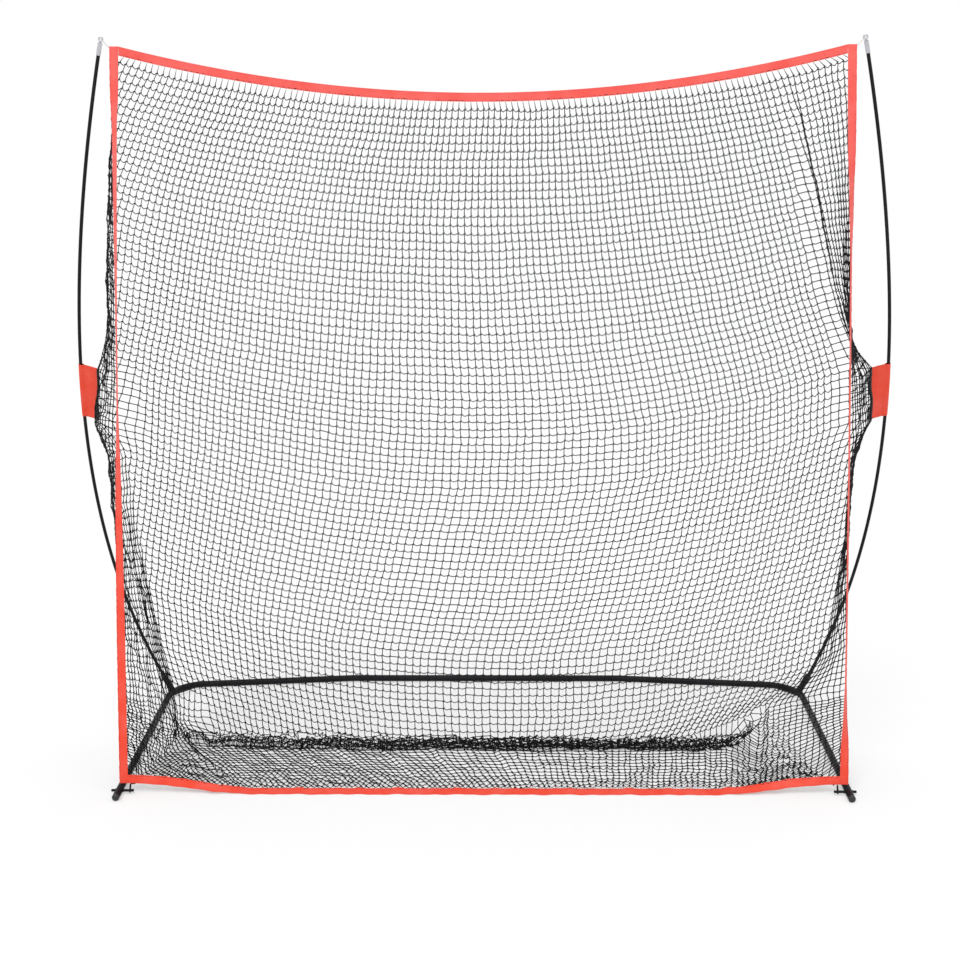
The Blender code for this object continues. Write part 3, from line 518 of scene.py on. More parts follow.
def woven_strip(across, along, place, size):
    """A strip of across x along faces, whose corner (i, j) stands at place(i, j).

    Its UV map is in metres: size(i, j) gives the distance along and across.
    """
    bm = bmesh.new()
    layer = bm.loops.layers.uv.new("UVMap")
    bmesh.ops.create_grid(bm, x_segments=across, y_segments=along, size=0.5)
    spots = {}
    for vertex in bm.verts:
        i = round((vertex.co.x + 0.5) * across)
        j = round((vertex.co.y + 0.5) * along)
        spots[vertex] = size(i, j)
        vertex.co = place(i, j)
    for face in bm.faces:
        for loop in face.loops:
            loop[layer].uv = spots[loop.vert]
    return to_mesh(bm, 60)


def thicken(obj, thickness, rounding=0.0):
    solidify = obj.modifiers.new("thickness", "SOLIDIFY")
    solidify.thickness = thickness
    solidify.offset = 0
    solidify.use_even_offset = True
    if rounding:
        bevel = obj.modifiers.new("rounding", "BEVEL")
        bevel.width = rounding
        bevel.segments = 2
        bevel.limit_method = "ANGLE"
        bevel.angle_limit = math.radians(60)


# ---------------------------------------------------------------- materials


def feed(tree, made, inputs):
    """Links each of a node's inputs to its socket, or gives it its value."""
    for key, value in inputs.items():
        if isinstance(value, bpy.types.NodeSocket):
            tree.links.new(value, made.inputs[key])
        else:
            made.inputs[key].default_value = value


def node(tree, kind, inputs=None, **settings):
    """A node with its settings and inputs."""
    made = tree.nodes.new(kind)
    for name, value in settings.items():
        setattr(made, name, value)
    feed(tree, made, inputs or {})
    return made


def maths(tree, operation, first, second=0.0, third=0.0):
    made = node(tree, "ShaderNodeMath", {0: first, 1: second, 2: third}, operation=operation)
    return made.outputs[0]


def blend_colours(tree, share, first, second):
    made = node(
        tree, "ShaderNodeMix", {"Factor": share, 6: first, 7: second}, data_type="RGBA"
    )
    return made.outputs[2]


def mix_values(tree, share, first, second):
    made = node(tree, "ShaderNodeMix", {"Factor": share, 2: first, 3: second}, data_type="FLOAT")
    return made.outputs[0]


def stretch(tree, value, low, high, to_low=0.0, to_high=1.0):
    made = node(
        tree, "ShaderNodeMapRange",
        {"Value": value, "From Min": low, "From Max": high, "To Min": to_low, "To Max": to_high},
    )
    return made.outputs["Result"]


def graded(tree, colour, value, saturation):
    made = node(
        tree, "ShaderNodeHueSaturation",
        {"Color": colour, "Value": value, "Saturation": saturation},
    )
    return made.outputs[0]


def bump(tree, height, strength, distance):
    made = node(
        tree, "ShaderNodeBump", {"Height": height, "Strength": strength, "Distance": distance}
    )
    return made.outputs["Normal"]


def grouped(tree, name, values, outputs, fill):
    """Output sockets of a node group that is fed a vector and numbers, and is built once.

    fill(tree, inputs) returns a socket for each of the group's outputs, which are numbers.
    """
    group = bpy.data.node_groups.get(name)
    if group is None:
        group = bpy.data.node_groups.new(name, "ShaderNodeTree")
        for title in values:
            kind = "NodeSocketVector" if title == "Vector" else "NodeSocketFloat"
            group.interface.new_socket(title, in_out="INPUT", socket_type=kind)
        for title in outputs:
            group.interface.new_socket(title, in_out="OUTPUT", socket_type="NodeSocketFloat")
        given = group.nodes.new("NodeGroupInput")
        result = group.nodes.new("NodeGroupOutput")
        for socket, value in zip(result.inputs, fill(group, given.outputs)):
            group.links.new(value, socket)
    return node(tree, "ShaderNodeGroup", values, node_tree=group).outputs


def uneven_surface(tree, place, blotch_scale, grain_scale):
    """Masks from 0 to 1 of a surface's blotches and of its fine grain."""

    def fill(tree, given):
        masks = []
        for title, detail, least in (("Blotch", 3.0, 0.3), ("Grain", 2.0, 0.25)):
            scale = given[f"{title} Scale"]
            noise = node(
                tree, "ShaderNodeTexNoise",
                {"Vector": given["Vector"], "Scale": scale, "Detail": detail},
            )
            masks.append(stretch(tree, noise.outputs["Fac"], least, 1 - least))
        return masks

    values = {"Vector": place, "Blotch Scale": blotch_scale, "Grain Scale": grain_scale}
    return grouped(tree, "uneven_surface", values, ("Blotch", "Grain"), fill)


def plain_weave(tree, flat, pitch):
    """Height of threads that cross over and under each other, from UVs in metres."""

    def fill(tree, given):
        parts = node(tree, "ShaderNodeSeparateXYZ", {0: given["Vector"]})
        turns = maths(tree, "DIVIDE", math.pi, given["Pitch"])
        waves = [
            maths(tree, "SINE", maths(tree, "MULTIPLY", parts.outputs[way], turns))
            for way in (0, 1)
        ]
        over = maths(tree, "GREATER_THAN", maths(tree, "MULTIPLY", *waves), 0.0)
        warp, weft = (maths(tree, "ABSOLUTE", wave) for wave in waves)
        return (mix_values(tree, over, warp, weft),)

    values = {"Vector": flat, "Pitch": pitch}
    return grouped(tree, "plain_weave", values, ("Height",), fill)["Height"]


def stitch_row(tree, flat, place, step):
    """Mask of a row of stitches at one distance across the cloth, from UVs in metres."""

    def fill(tree, given):
        parts = node(tree, "ShaderNodeSeparateXYZ", {0: given["Vector"]})
        away = maths(
            tree, "ABSOLUTE", maths(tree, "SUBTRACT", parts.outputs[1], given["Place"])
        )
        near = stretch(tree, away, 0.00025, 0.00060, 1, 0)
        cycle = maths(tree, "FRACT", maths(tree, "DIVIDE", parts.outputs[0], given["Step"]))
        middle = maths(tree, "ABSOLUTE", maths(tree, "SUBTRACT", cycle, 0.5))
        dash = stretch(tree, middle, 0.34, 0.42, 1, 0)
        return (maths(tree, "MULTIPLY", near, dash),)

    values = {"Vector": flat, "Place": place, "Step": step}
    return grouped(tree, "stitch_row", values, ("Mask",), fill)["Mask"]


def new_material(name):
    material = bpy.data.materials.new(name)
    material.use_nodes = True
    tree = material.node_tree
    return material, tree, tree.nodes["Principled BSDF"]


def object_place(tree):
    return node(tree, "ShaderNodeTexCoord").outputs["Object"]


def made_once(make):
    """The material that has the function's name, made when it is first asked for."""
    return lambda: bpy.data.materials.get(make.__name__) or make()


def solid_finish(name, colour, light, rough, grain, metallic=0.0, gloss=0.5, stretch_to=None):
    """A hard surface whose colour and gloss vary a little, with a fine grain.

    light is how far the paler blotches go, rough the least and most roughness, and grain the
    scale and depth of the grain.
    """
    material, tree, shader = new_material(name)
    place = object_place(tree)
    if stretch_to:
        place = node(tree, "ShaderNodeMapping", {"Vector": place, "Scale": stretch_to}).outputs[0]
    blotch, fine = uneven_surface(tree, place, 14.0, grain[0])
    pale = [min(1.0, part * light + 0.002) for part in colour]
    wear = mix_values(tree, 0.35, blotch, fine)
    finish = {
        "Base Color": blend_colours(tree, blotch, (*colour, 1), (*pale, 1)),
        "Roughness": stretch(tree, wear, 0, 1, *rough),
        "Metallic": metallic,
        "Specular IOR Level": gloss,
        "Normal": bump(tree, fine, 0.35, grain[1]),
    }
    feed(tree, shader, finish)
    return material


@made_once
def painted_steel():
    colour = bpy.context.scene.practice_frame.paint_colour
    return solid_finish("painted_steel", colour, 1.5, (0.34, 0.50), (420, 0.00012), gloss=0.16)


@made_once
def moulded_plastic():
    colour = (0.014, 0.014, 0.015)
    return solid_finish("moulded_plastic", colour, 1.6, (0.42, 0.60), (900, 0.0001))


@made_once
def glass_fibre():
    return solid_finish(
        "glass_fibre", bpy.context.scene.practice_frame.pole_colour, 1.6, (0.30, 0.46),
        (500, 0.00006), gloss=0.18, stretch_to=(1, 1, 0.03),
    )


@made_once
def bright_metal():
    colour = bpy.context.scene.practice_frame.metal_colour
    return solid_finish("bright_metal", colour, 1.1, (0.10, 0.24), (700, 0.00003), metallic=1.0)


@made_once
def spring_steel():
    colour = (0.52, 0.52, 0.54)
    return solid_finish("spring_steel", colour, 1.2, (0.22, 0.38), (900, 0.00003), metallic=1.0)


@made_once
def netting_cord():
    """Dull cord with a coarse grain over an uneven black."""
    colour = bpy.context.scene.practice_netting.colour
    material, tree, shader = new_material("netting_cord")
    blotch, grain = uneven_surface(tree, object_place(tree), 5.0, 1800.0)
    pale = [part * 2.2 + 0.003 for part in colour]
    finish = {
        "Base Color": blend_colours(tree, grain, (*colour, 1), (*pale, 1)),
        "Roughness": stretch(tree, blotch, 0, 1, 0.62, 0.85),
        "Specular IOR Level": 0.15,
        "Normal": bump(tree, grain, 0.6, 0.0003),
    }
    feed(tree, shader, finish)
    return material


@made_once
def elastic_cord():
    """Pale cord with slanting plaits, with painted shade in the grooves between them."""
    material, tree, shader = new_material("elastic_cord")
    place = object_place(tree)
    plaits = node(
        tree, "ShaderNodeTexWave",
        {"Vector": place, "Scale": 260.0, "Distortion": 2.0, "Detail": 1.0},
        bands_direction="DIAGONAL",
    ).outputs["Fac"]
    blotch, _ = uneven_surface(tree, place, 40.0, 2200.0)
    finish = {
        # Painted shade: the grooves between the plaits, where the bump sinks, are coloured darker
        "Base Color": blend_colours(tree, plaits, (0.60, 0.60, 0.59, 1), (0.86, 0.86, 0.85, 1)),
        "Roughness": stretch(tree, blotch, 0, 1, 0.7, 0.9),
        "Normal": bump(tree, plaits, 0.5, 0.0003),
    }
    feed(tree, shader, finish)
    return material


def woven_tape(name, low, high, stitches):
    """Woven tape or cloth with UVs in metres: its colour goes from low to high up the net, as
    painted light that makes the tape lighter higher up.
    """
    material, tree, shader = new_material(name)
    coordinates = node(tree, "ShaderNodeTexCoord")
    flat, place = coordinates.outputs["UV"], coordinates.outputs["Object"]
    height = node(tree, "ShaderNodeSeparateXYZ", {0: place}).outputs[2]
    # Painted light: the tint goes from the darker low colour near the floor to the lighter high
    # colour at the top
    tint = blend_colours(tree, stretch(tree, height, 0.7, 1.7), (*low, 1), (*high, 1))
    weave = plain_weave(tree, flat, 0.0009)
    blotch, grain = uneven_surface(tree, place, 18.0, 1500.0)
    dark = graded(tree, tint, 0.80, 1.03)
    # Painted shade: the tint is darkened where the weave's threads dip, in the hollows of the
    # weave
    tint = blend_colours(tree, stretch(tree, weave, 0.0, 0.8), dark, tint)
    tint = blend_colours(tree, blotch, tint, graded(tree, tint, 1.04, 0.95))
    relief = maths(tree, "MULTIPLY", weave, 0.5)
    for row in stitches:
        mask = stitch_row(tree, flat, row, 0.0034)
        tint = blend_colours(tree, maths(tree, "MULTIPLY", mask, 0.45), tint, dark)
        relief = maths(tree, "ADD", relief, mask)
    finish = {
        "Base Color": tint,
        "Roughness": stretch(tree, grain, 0, 1, 0.58, 0.78),
        "Sheen Weight": 0.15,
        "Sheen Roughness": 0.4,
        "Specular IOR Level": 0.35,
        "Normal": bump(tree, relief, 0.7, 0.0004),
    }
    feed(tree, shader, finish)
    return material


@made_once
def red_tape():
    settings = bpy.context.scene.practice_binding
    return woven_tape("red_tape", settings.low_colour, settings.high_colour, (0.003, 0.0224))


@made_once
def tab_cloth():
    colour = bpy.context.scene.practice_tab.colour
    return woven_tape("tab_cloth", colour, colour, (0.006,))


@made_once
def black_hem():
    colour = bpy.context.scene.practice_tab.hem_colour
    return woven_tape("black_hem", colour, colour, (0.005,))


# ---------------------------------------------------------------- base frame


def bar_at(x, depth):
    return at(x, depth, TUBE_AXIS_HEIGHT)


def corner_centre(side):
    reach = LEG_X - CROSSBAR_JOINT_X - CROSSBAR_STUB
    sharp_depth = CROSSBAR_DEPTH - reach * math.tan(ARM_SWEEP)
    tangent = CORNER_RADIUS * math.tan((math.pi / 2 - ARM_SWEEP) / 2)
    return bar_at(side * (LEG_X - CORNER_RADIUS), sharp_depth - tangent)


def corner_point(side, angle):
    spoke = Vector((side * math.cos(angle), math.sin(angle), 0))
    return corner_centre(side) + spoke * CORNER_RADIUS


def corner_line(side):
    """Centre line of a corner tube and its thickness, from the crossbar neck to the leg neck."""
    neck = NECK_RADIUS / bpy.context.scene.practice_frame.tube_radius
    shoulder = ((-NECK_LENGTH, neck), (-SHOULDER, neck), (0, 0.97), (0.0006, 1))
    line = [
        (bar_at(side * (CROSSBAR_JOINT_X + step), CROSSBAR_DEPTH), thick)
        for step, thick in (*shoulder, (CROSSBAR_STUB, 1))
    ]
    bend = math.pi / 2 - ARM_SWEEP
    for step in range(CORNER_STEPS + 1):
        line.append((corner_point(side, bend * (1 - step / CORNER_STEPS)), 1))
    for step, thick in reversed(shoulder):
        line.append((bar_at(side * LEG_X, LEG_JOINT_DEPTH + step), thick))
    return zip(*line)


def snap_places():
    """Place on the tube's axis and direction into the neck of each snap button, by its name."""
    places = {}
    for word, side in SIDES:
        inward = CROSSBAR_JOINT_X - BUTTON_FROM_SHOULDER
        places[f"crossbar_{word}"] = bar_at(side * inward, CROSSBAR_DEPTH), RIGHT * -side
    for word, side in SIDES:
        depth = LEG_JOINT_DEPTH - BUTTON_FROM_SHOULDER
        places[f"leg_{word}"] = bar_at(side * LEG_X, depth), -BACK
    return places


def button_holes(*names):
    """Holes for these snap buttons."""
    holes = []
    for name in names:
        place, inward = snap_places()[name]
        holes.append((axes(place + UP * 0.004, UP, inward), BUTTON_HOLE_RADIUS, 0.012))
    return holes


def weld_bead(points, radius, seed):
    """A ring of weld metal through points, a little lumpy like a hand weld."""
    turn = math.tau * WELD_LUMPS / len(points)
    lumps = [
        1 + 0.16 * math.sin(index * turn) + 0.1 * ripple(index * 0.7, seed)
        for index in range(len(points))
    ]
    return swept(points, radius, 8, lumps, closed=True)


def corner_tangent(side, angle):
    return Vector((-side * math.sin(angle), math.cos(angle), 0))


def joint_ring(foot, along, radius, bar_way, bar_radius, steps=72):
    """Line on which a round bar that stands at foot meets a round bar that runs along bar_way."""
    x = along.orthogonal().normalized()
    y = along.cross(x)
    points = []
    for step in range(steps):
        angle = math.tau * step / steps
        spoke = (x * math.cos(angle) + y * math.sin(angle)) * radius
        rise = along - bar_way * along.dot(bar_way)
        off = spoke - bar_way * spoke.dot(bar_way)
        a, b, c = rise.dot(rise), 2 * rise.dot(off), off.dot(off) - bar_radius**2
        reach = (-b + math.sqrt(max(b * b - 4 * a * c, 0.0))) / (2 * a)
        points.append(foot + along * reach + spoke)
    return points


class PRACTICE_OT_base_tubes(Operator):
    """Crossbar, legs and corner tubes of the steel base"""

    bl_idname = "practice.base_tubes"
    bl_label = "Base tubes"

    def execute(self, context):
        settings = context.scene.practice_frame
        outer, bore = settings.tube_radius, settings.tube_bore
        half = CROSSBAR_JOINT_X - SHOULDER
        mesh = tube(outer, bore, 2 * half, axes(bar_at(-half, CROSSBAR_DEPTH), RIGHT, UP))
        mesh = drilled(mesh, button_holes("crossbar_left", "crossbar_right"))
        piece("crossbar", mesh, painted_steel(), ["crossbar_middle_tube"])
        for word, side in SIDES:
            matrix = axes(bar_at(side * LEG_X, LEG_FRONT), BACK, UP)
            mesh = tube(outer, bore, LEG_JOINT_DEPTH - SHOULDER - LEG_FRONT, matrix)
            across = axes(bar_at(side * LEG_X - 0.02, HOOK_BAR_DEPTH), RIGHT, UP)
            hook_hole = (across, HOOK_HOLE_RADIUS, 0.04)
            mesh = drilled(mesh, [*button_holes(f"leg_{word}"), hook_hole])
            name, node_name = f"base_leg_{word}", f"leg_tube_{word}"
            piece(name, mesh, painted_steel(), [node_name])
            points, thickness = corner_line(side)
            shell = link("shell", swept(points, outer, 32, thickness, caps=False))
            wall = shell.modifiers.new("wall", "SOLIDIFY")
            wall.thickness = TUBE_WALL
            wall.offset = -1
            holes = button_holes(f"crossbar_{word}", f"leg_{word}")
            mesh = drilled(evaluated_mesh(shell), holes)
            name, node_name = f"base_corner_{word}", f"corner_tube_{word}"
            piece(name, mesh, painted_steel(), [node_name])
        return {"FINISHED"}


class PRACTICE_OT_foot_plugs(Operator):
    """Plastic plugs in the front ends of the legs"""

    bl_idname = "practice.foot_plugs"
    bl_label = "Foot plugs"

    def execute(self, context):
        outer = context.scene.practice_frame.tube_radius
        profile = [
            (0, 0.0120), (0.0040, 0.0118), (0.0072, 0.0110), (0.0095, 0.0093), (outer, 0.0068),
            (outer, 0.0004), (0.0088, 0.0003), (0.0088, -0.022), (0, -0.022),
        ]
        for word, side in SIDES:
            matrix = axes(bar_at(side * LEG_X, LEG_FRONT), -BACK, UP)
            mesh = turned(profile, matrix, round_edges=0.0003)
            name, node_name = f"end_plug_{word}", f"foot_plug_{word}"
            piece(name, mesh, moulded_plastic(), [node_name])
        return {"FINISHED"}


class PRACTICE_OT_hook_bars(Operator):
    """Bars through the legs that the net's lower corners hook on to"""

    bl_idname = "practice.hook_bars"
    bl_label = "Hook bars"

    def execute(self, context):
        length, radius = sum(HOOK_BAR_REACH), HOOK_BAR_RADIUS
        profile = [
            (0, 0), (radius * 0.72, 0.0004), (radius, 0.0020), (radius, length - 0.0020),
            (radius * 0.72, length - 0.0004), (0, length),
        ]
        for word, side in SIDES:
            start = bar_at(side * (LEG_X - HOOK_BAR_REACH[0]), HOOK_BAR_DEPTH)
            parts = [turned(profile, axes(start, RIGHT * side, UP), steps=24)]
            for way in (-1, 1):
                centre = bar_at(side * LEG_X + way * HOOK_WELD_REACH, HOOK_BAR_DEPTH)
                ring = [
                    centre + Vector((0, math.cos(a), math.sin(a))) * (radius + 0.0004)
                    for a in np.linspace(0, math.tau, 48, endpoint=False)
                ]
                parts.append(weld_bead(ring, 0.0011, way + side))
            name, node_name = f"hook_bar_{word}", f"net_hook_bar_{word}"
            piece(name, join_meshes(*parts), painted_steel(), [node_name])
        return {"FINISHED"}


class PRACTICE_OT_corner_braces(Operator):
    """Thin bars welded across the insides of the corners"""

    bl_idname = "practice.corner_braces"
    bl_label = "Corner braces"

    def execute(self, context):
        for word, side in SIDES:
            ends = [corner_point(side, angle) for angle in BRACE_ANGLES]
            way = (ends[1] - ends[0]).normalized()
            parts = [swept([ends[0] + way * 0.004, ends[1] - way * 0.004], BRACE_RADIUS, 16)]
            for end, angle, inward in zip(ends, BRACE_ANGLES, (way, -way)):
                tangent = corner_tangent(side, angle)
                ring = joint_ring(end, inward, BRACE_RADIUS + 0.0002, tangent, 0.0108, 40)
                parts.append(weld_bead(ring, 0.0012, angle))
            name, node_name = f"brace_{word}", f"corner_brace_{word}"
            piece(name, join_meshes(*parts), painted_steel(), [node_name])
        return {"FINISHED"}


def leaf_spring(place, inward):
    """A steel leaf folded into a U inside a neck; the button stands on its upper half."""
    middle = (SPRING_UPPER_LEAF + SPRING_LOWER_LEAF) / 2
    half = (SPRING_UPPER_LEAF - SPRING_LOWER_LEAF) / 2
    line = [(-SPRING_BACK, SPRING_LOWER_LEAF)]
    for step in range(SPRING_BEND_STEPS + 1):
        angle = math.pi * (step / SPRING_BEND_STEPS - 0.5)
        along = SPRING_FRONT - half * (1 - math.cos(angle))
        line.append((along, middle + half * math.sin(angle)))
    line.append((-SPRING_BACK, SPRING_UPPER_LEAF))
    width = UP.cross(inward) * SPRING_WIDTH
    mesh = woven_strip(
        2,
        len(line) - 1,
        lambda i, j: place + inward * line[j][0] + UP * line[j][1] + width * (i / 2 - 0.5),
        lambda i, j: (line[j][0], SPRING_WIDTH * i / 2),
    )
    obj = link("leaf", mesh)
    thicken(obj, SPRING_THICKNESS, 0.0001)
    return evaluated_mesh(obj)


class PRACTICE_OT_snap_buttons(Operator):
    """Spring buttons that lock the tubes together, and the leaf springs under them"""

    bl_idname = "practice.snap_buttons"
    bl_label = "Snap buttons"

    def execute(self, context):
        profile = [
            (0, 0.0135), (0.0012, 0.01335), (0.0022, 0.0129), (0.0028, 0.0120), (0.0029, 0.0112),
            (0.0029, 0.0062), (0.0039, 0.0062), (0.0039, 0.0056), (0, 0.0056),
        ]
        steel = spring_steel()
        for word, (place, inward) in snap_places().items():
            name, node_name = f"push_button_{word}", f"snap_button_{word}"
            mesh = turned(profile, axes(place, UP, inward), steps=32)
            piece(name, mesh, steel, [node_name], node_name)
            mesh = leaf_spring(place, inward)
            name = f"leaf_spring_{word}"
            leaf = piece(name, mesh, steel, [f"snap_spring_{word}"])
            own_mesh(leaf)
        return {"FINISHED"}


# ---------------------------------------------------------------- poles


def socket_way(side):
    return Vector((side * math.tan(SOCKET_SPLAY), -math.tan(SOCKET_RAKE), 1)).normalized()


def tip_way(side):
    way = Vector((-side * math.tan(POLE_TOP_LEAN_IN), -math.tan(POLE_TOP_LEAN_FORWARD), 1))
    return way.normalized()


def pole_top(side):
    return at(side * POLE_TOP[0], POLE_TOP[1], POLE_TOP[2])


def socket_foot(side):
    return corner_point(side, SOCKET_AROUND_CORNER)


def pole_line(side):
    """A pole's centre line: a straight foot in the bush, then the bow."""
    start_way, end_way = socket_way(side), tip_way(side)
    foot, end = socket_foot(side), pole_top(side)
    start = foot + start_way * (SOCKET_LENGTH + BUSH_FLANGE)
    handles = (start, start + start_way * POLE_HANDLES[0], end - end_way * POLE_HANDLES[1], end)
    points = [foot + start_way * (SOCKET_BUSH_BOTTOM + 0.0035)]
    for step in range(POLE_STEPS + 1):
        t = step / POLE_STEPS
        weights = ((1 - t) ** 3, 3 * (1 - t) ** 2 * t, 3 * (1 - t) * t**2, t**3)
        points.append(sum((w * h for w, h in zip(weights, handles)), Vector()))
    return points


def tip_matrix(side, distance):
    way = tip_way(side)
    return axes(pole_top(side) + way * distance, way, RIGHT)


class PRACTICE_OT_pole_sockets(Operator):
    """Tubes welded on the corners for the poles, with their plastic bushes"""

    bl_idname = "practice.pole_sockets"
    bl_label = "Pole sockets"

    def execute(self, context):
        settings = context.scene.practice_frame
        outer, bore = settings.tube_radius, settings.tube_bore
        seat = SOCKET_LENGTH + 0.0003
        top, bottom = seat + BUSH_FLANGE, SOCKET_BUSH_BOTTOM
        profile = [
            (0.0057, top), (0.0104, top), (outer, top - 0.0005), (outer, seat), (0.0092, seat),
            (0.0092, bottom), (0, bottom), (0, bottom + 0.003), (0.0057, bottom + 0.003),
            (0.0057, top - 0.0004),
        ]
        for word, side in SIDES:
            way, foot = socket_way(side), socket_foot(side)
            matrix = axes(foot + way * SOCKET_TUBE_START, way, RIGHT)
            shell = tube(outer, bore, SOCKET_LENGTH - SOCKET_TUBE_START, matrix)
            tangent = corner_tangent(side, SOCKET_AROUND_CORNER)
            bead = weld_bead(joint_ring(foot, way, outer, tangent, outer), 0.0019, side)
            name, node_name = f"socket_{word}", f"pole_socket_{word}"
            mesh = join_meshes(shell, bead)
            piece(name, mesh, painted_steel(), [node_name])
            mesh = turned(profile, axes(foot, way, RIGHT), closed=True)
            name, node_name = f"bush_{word}", f"socket_bush_{word}"
            piece(name, mesh, moulded_plastic(), [node_name])
        return {"FINISHED"}


class PRACTICE_OT_poles(Operator):
    """Bowed poles, each in three sections"""

    bl_idname = "practice.poles"
    bl_label = "Poles"

    def execute(self, context):
        radius = context.scene.practice_frame.pole_radius
        ends = ((0, 0.88), (0.0004, 0.96), (0.0012, 1.0))
        for word, side in SIDES:
            line = pole_line(side)
            total = lengths_along(line)
            cuts = [total[-1] * share / 3 for share in range(4)]
            for number, section in enumerate(POLE_SECTIONS):
                start, end = cuts[number] + POLE_CUT_GAP, cuts[number + 1] - POLE_CUT_GAP
                stops = [(start + step, thick) for step, thick in ends]
                stops += [(stop, 1.0) for stop in np.linspace(start + 0.006, end - 0.006, 60)]
                stops += [(end - step, thick) for step, thick in reversed(ends)]
                points = [point_along(line, total, stop) for stop, _ in stops]
                mesh = swept(points, radius, 20, [thick for _, thick in stops])
                name, node_name = f"bowed_pole_{section}_{word}", f"pole_{section}_{word}"
                piece(name, mesh, glass_fibre(), [node_name])
        return {"FINISHED"}


class PRACTICE_OT_pole_tips(Operator):
    """Bright ferrules and eyes on the pole tips"""

    bl_idname = "practice.pole_tips"
    bl_label = "Pole tips"

    def execute(self, context):
        ferrule = [
            (0.0058, 0), (0.0064, 0), (0.0067, 0.0004), (0.0067, 0.0050), (0.0062, 0.0058),
            (0.0062, 0.0066), (0.0067, 0.0074), (0.0067, 0.0240), (0.0062, 0.0248),
            (0.0062, 0.0256), (0.0067, 0.0264), (0.0067, 0.0345), (0.0061, 0.0356),
            (0.0030, 0.0360), (0.0028, 0.0330), (0, 0.0330), (0, 0.0304), (0.0058, 0.0304),
        ]
        middle = (EYE_RADIUS + EYE_HOLE_RADIUS) / 2
        half_width, half_height = (EYE_RADIUS - EYE_HOLE_RADIUS) / 2, EYE_THICKNESS / 2
        section = [
            (middle + half_width * math.cos(a), half_height * math.sin(a))
            for a in np.linspace(0, math.tau, 20, endpoint=False)
        ]
        length = EYE_HEIGHT - STEM_FOOT - middle
        stem = [
            (0, 0), (0.0022, 0), (0.0022, 0.0020), (0.0036, 0.0036), (0.0034, 0.0046),
            (0.0022, 0.0056), (0.0022, length), (0, length),
        ]
        for word, side in SIDES:
            mesh = turned(ferrule, tip_matrix(side, -FERRULE_POLE_DEPTH), closed=True)
            name, node_name = f"ferrule_{word}", f"pole_tip_ferrule_{word}"
            piece(name, mesh, bright_metal(), [node_name])
            lying = tip_matrix(side, EYE_HEIGHT) @ Matrix.Rotation(math.pi / 2, 4, "X")
            mesh = join_meshes(
                turned(section, lying, closed=True),
                turned(stem, tip_matrix(side, STEM_FOOT), steps=24),
            )
            name, node_name = f"tip_eye_{word}", f"pole_tip_eye_{word}"
            piece(name, mesh, bright_metal(), [node_name])
        return {"FINISHED"}


# ---------------------------------------------------------------- bindings


def opening_lean():
    """Unit vectors of the opening's side: upwards along it, and back square to it."""
    rise = TOP_CORNER_HEIGHT - BOTTOM_CORNER_HEIGHT
    upward = Vector((0, TOP_CORNER_DEPTH - BOTTOM_CORNER_DEPTH, rise)).normalized()
    return upward, Vector((0, upward.z, -upward.y))


def side_binding_point(side, v, distance):
    """Point this far outwards from the middle of a side tape, v down from 0 to 1."""
    x = mix(SIDE_TOP_X, SIDE_BOTTOM_X, v) + SIDE_BOW * math.sin(math.pi * v)
    depth = mix(TOP_CORNER_DEPTH, BOTTOM_CORNER_DEPTH, v)
    shares, angles = zip(*SIDE_TURNS[side])
    turn = math.radians(float(np.interp(v, shares, angles)))
    _, back = opening_lean()
    across = Vector((side * math.cos(turn), 0, 0)) + back * math.sin(turn)
    pull = 0.0007 * ripple(v * 210, side) * (distance / BINDING_WIDTH + 0.5)
    point = at(side * x, depth, mix(TOP_CORNER_HEIGHT, BOTTOM_CORNER_HEIGHT, v))
    return point + across * distance + Vector((pull, 0.5 * pull, 0))


def top_binding_point(u, distance):
    """Point this far above the middle of the top tape, u from -1 to 1 across."""
    upward, _ = opening_lean()
    half_span = SIDE_TOP_X - BINDING_WIDTH / 2
    height = TOP_CORNER_HEIGHT - BINDING_WIDTH / 2 - TOP_SAG * (1 - u * u)
    pull = 0.0010 * ripple((u + 1) * 95, 3.0) * min(1.0, (1 - abs(u)) * 12)
    point = at(half_span * u, TOP_CORNER_DEPTH, height) + upward * distance
    return point + BACK * pull * (0.5 - distance / BINDING_WIDTH)


def bottom_binding_point(u, distance):
    """Point this far up the width of the lower tape, from its lower edge."""
    half_span = SIDE_BOTTOM_X - BINDING_WIDTH / 2
    past_floor = abs(u) * half_span - (half_span - BOTTOM_RISE_LENGTH)
    lift = float(ease(past_floor / BOTTOM_RISE_LENGTH))
    upward, _ = opening_lean()
    tilt = mix(BOTTOM_FLOOR_TILT, math.atan2(upward.z, upward.y), lift)
    height = mix(BOTTOM_FLOOR_HEIGHT, BOTTOM_CORNER_HEIGHT, lift)
    edge = at(half_span * u, BOTTOM_CORNER_DEPTH * lift, height)
    fade = float(ease((1 - abs(u)) * 7))
    wave = bpy.context.scene.practice_binding.wave * fade * ripple((u + 1) * 31, 1.0)
    ruffle = Vector((0, wave, abs(wave) * 0.5 * distance / BINDING_WIDTH))
    return edge + Vector((0, math.cos(tilt), math.sin(tilt))) * distance + ruffle


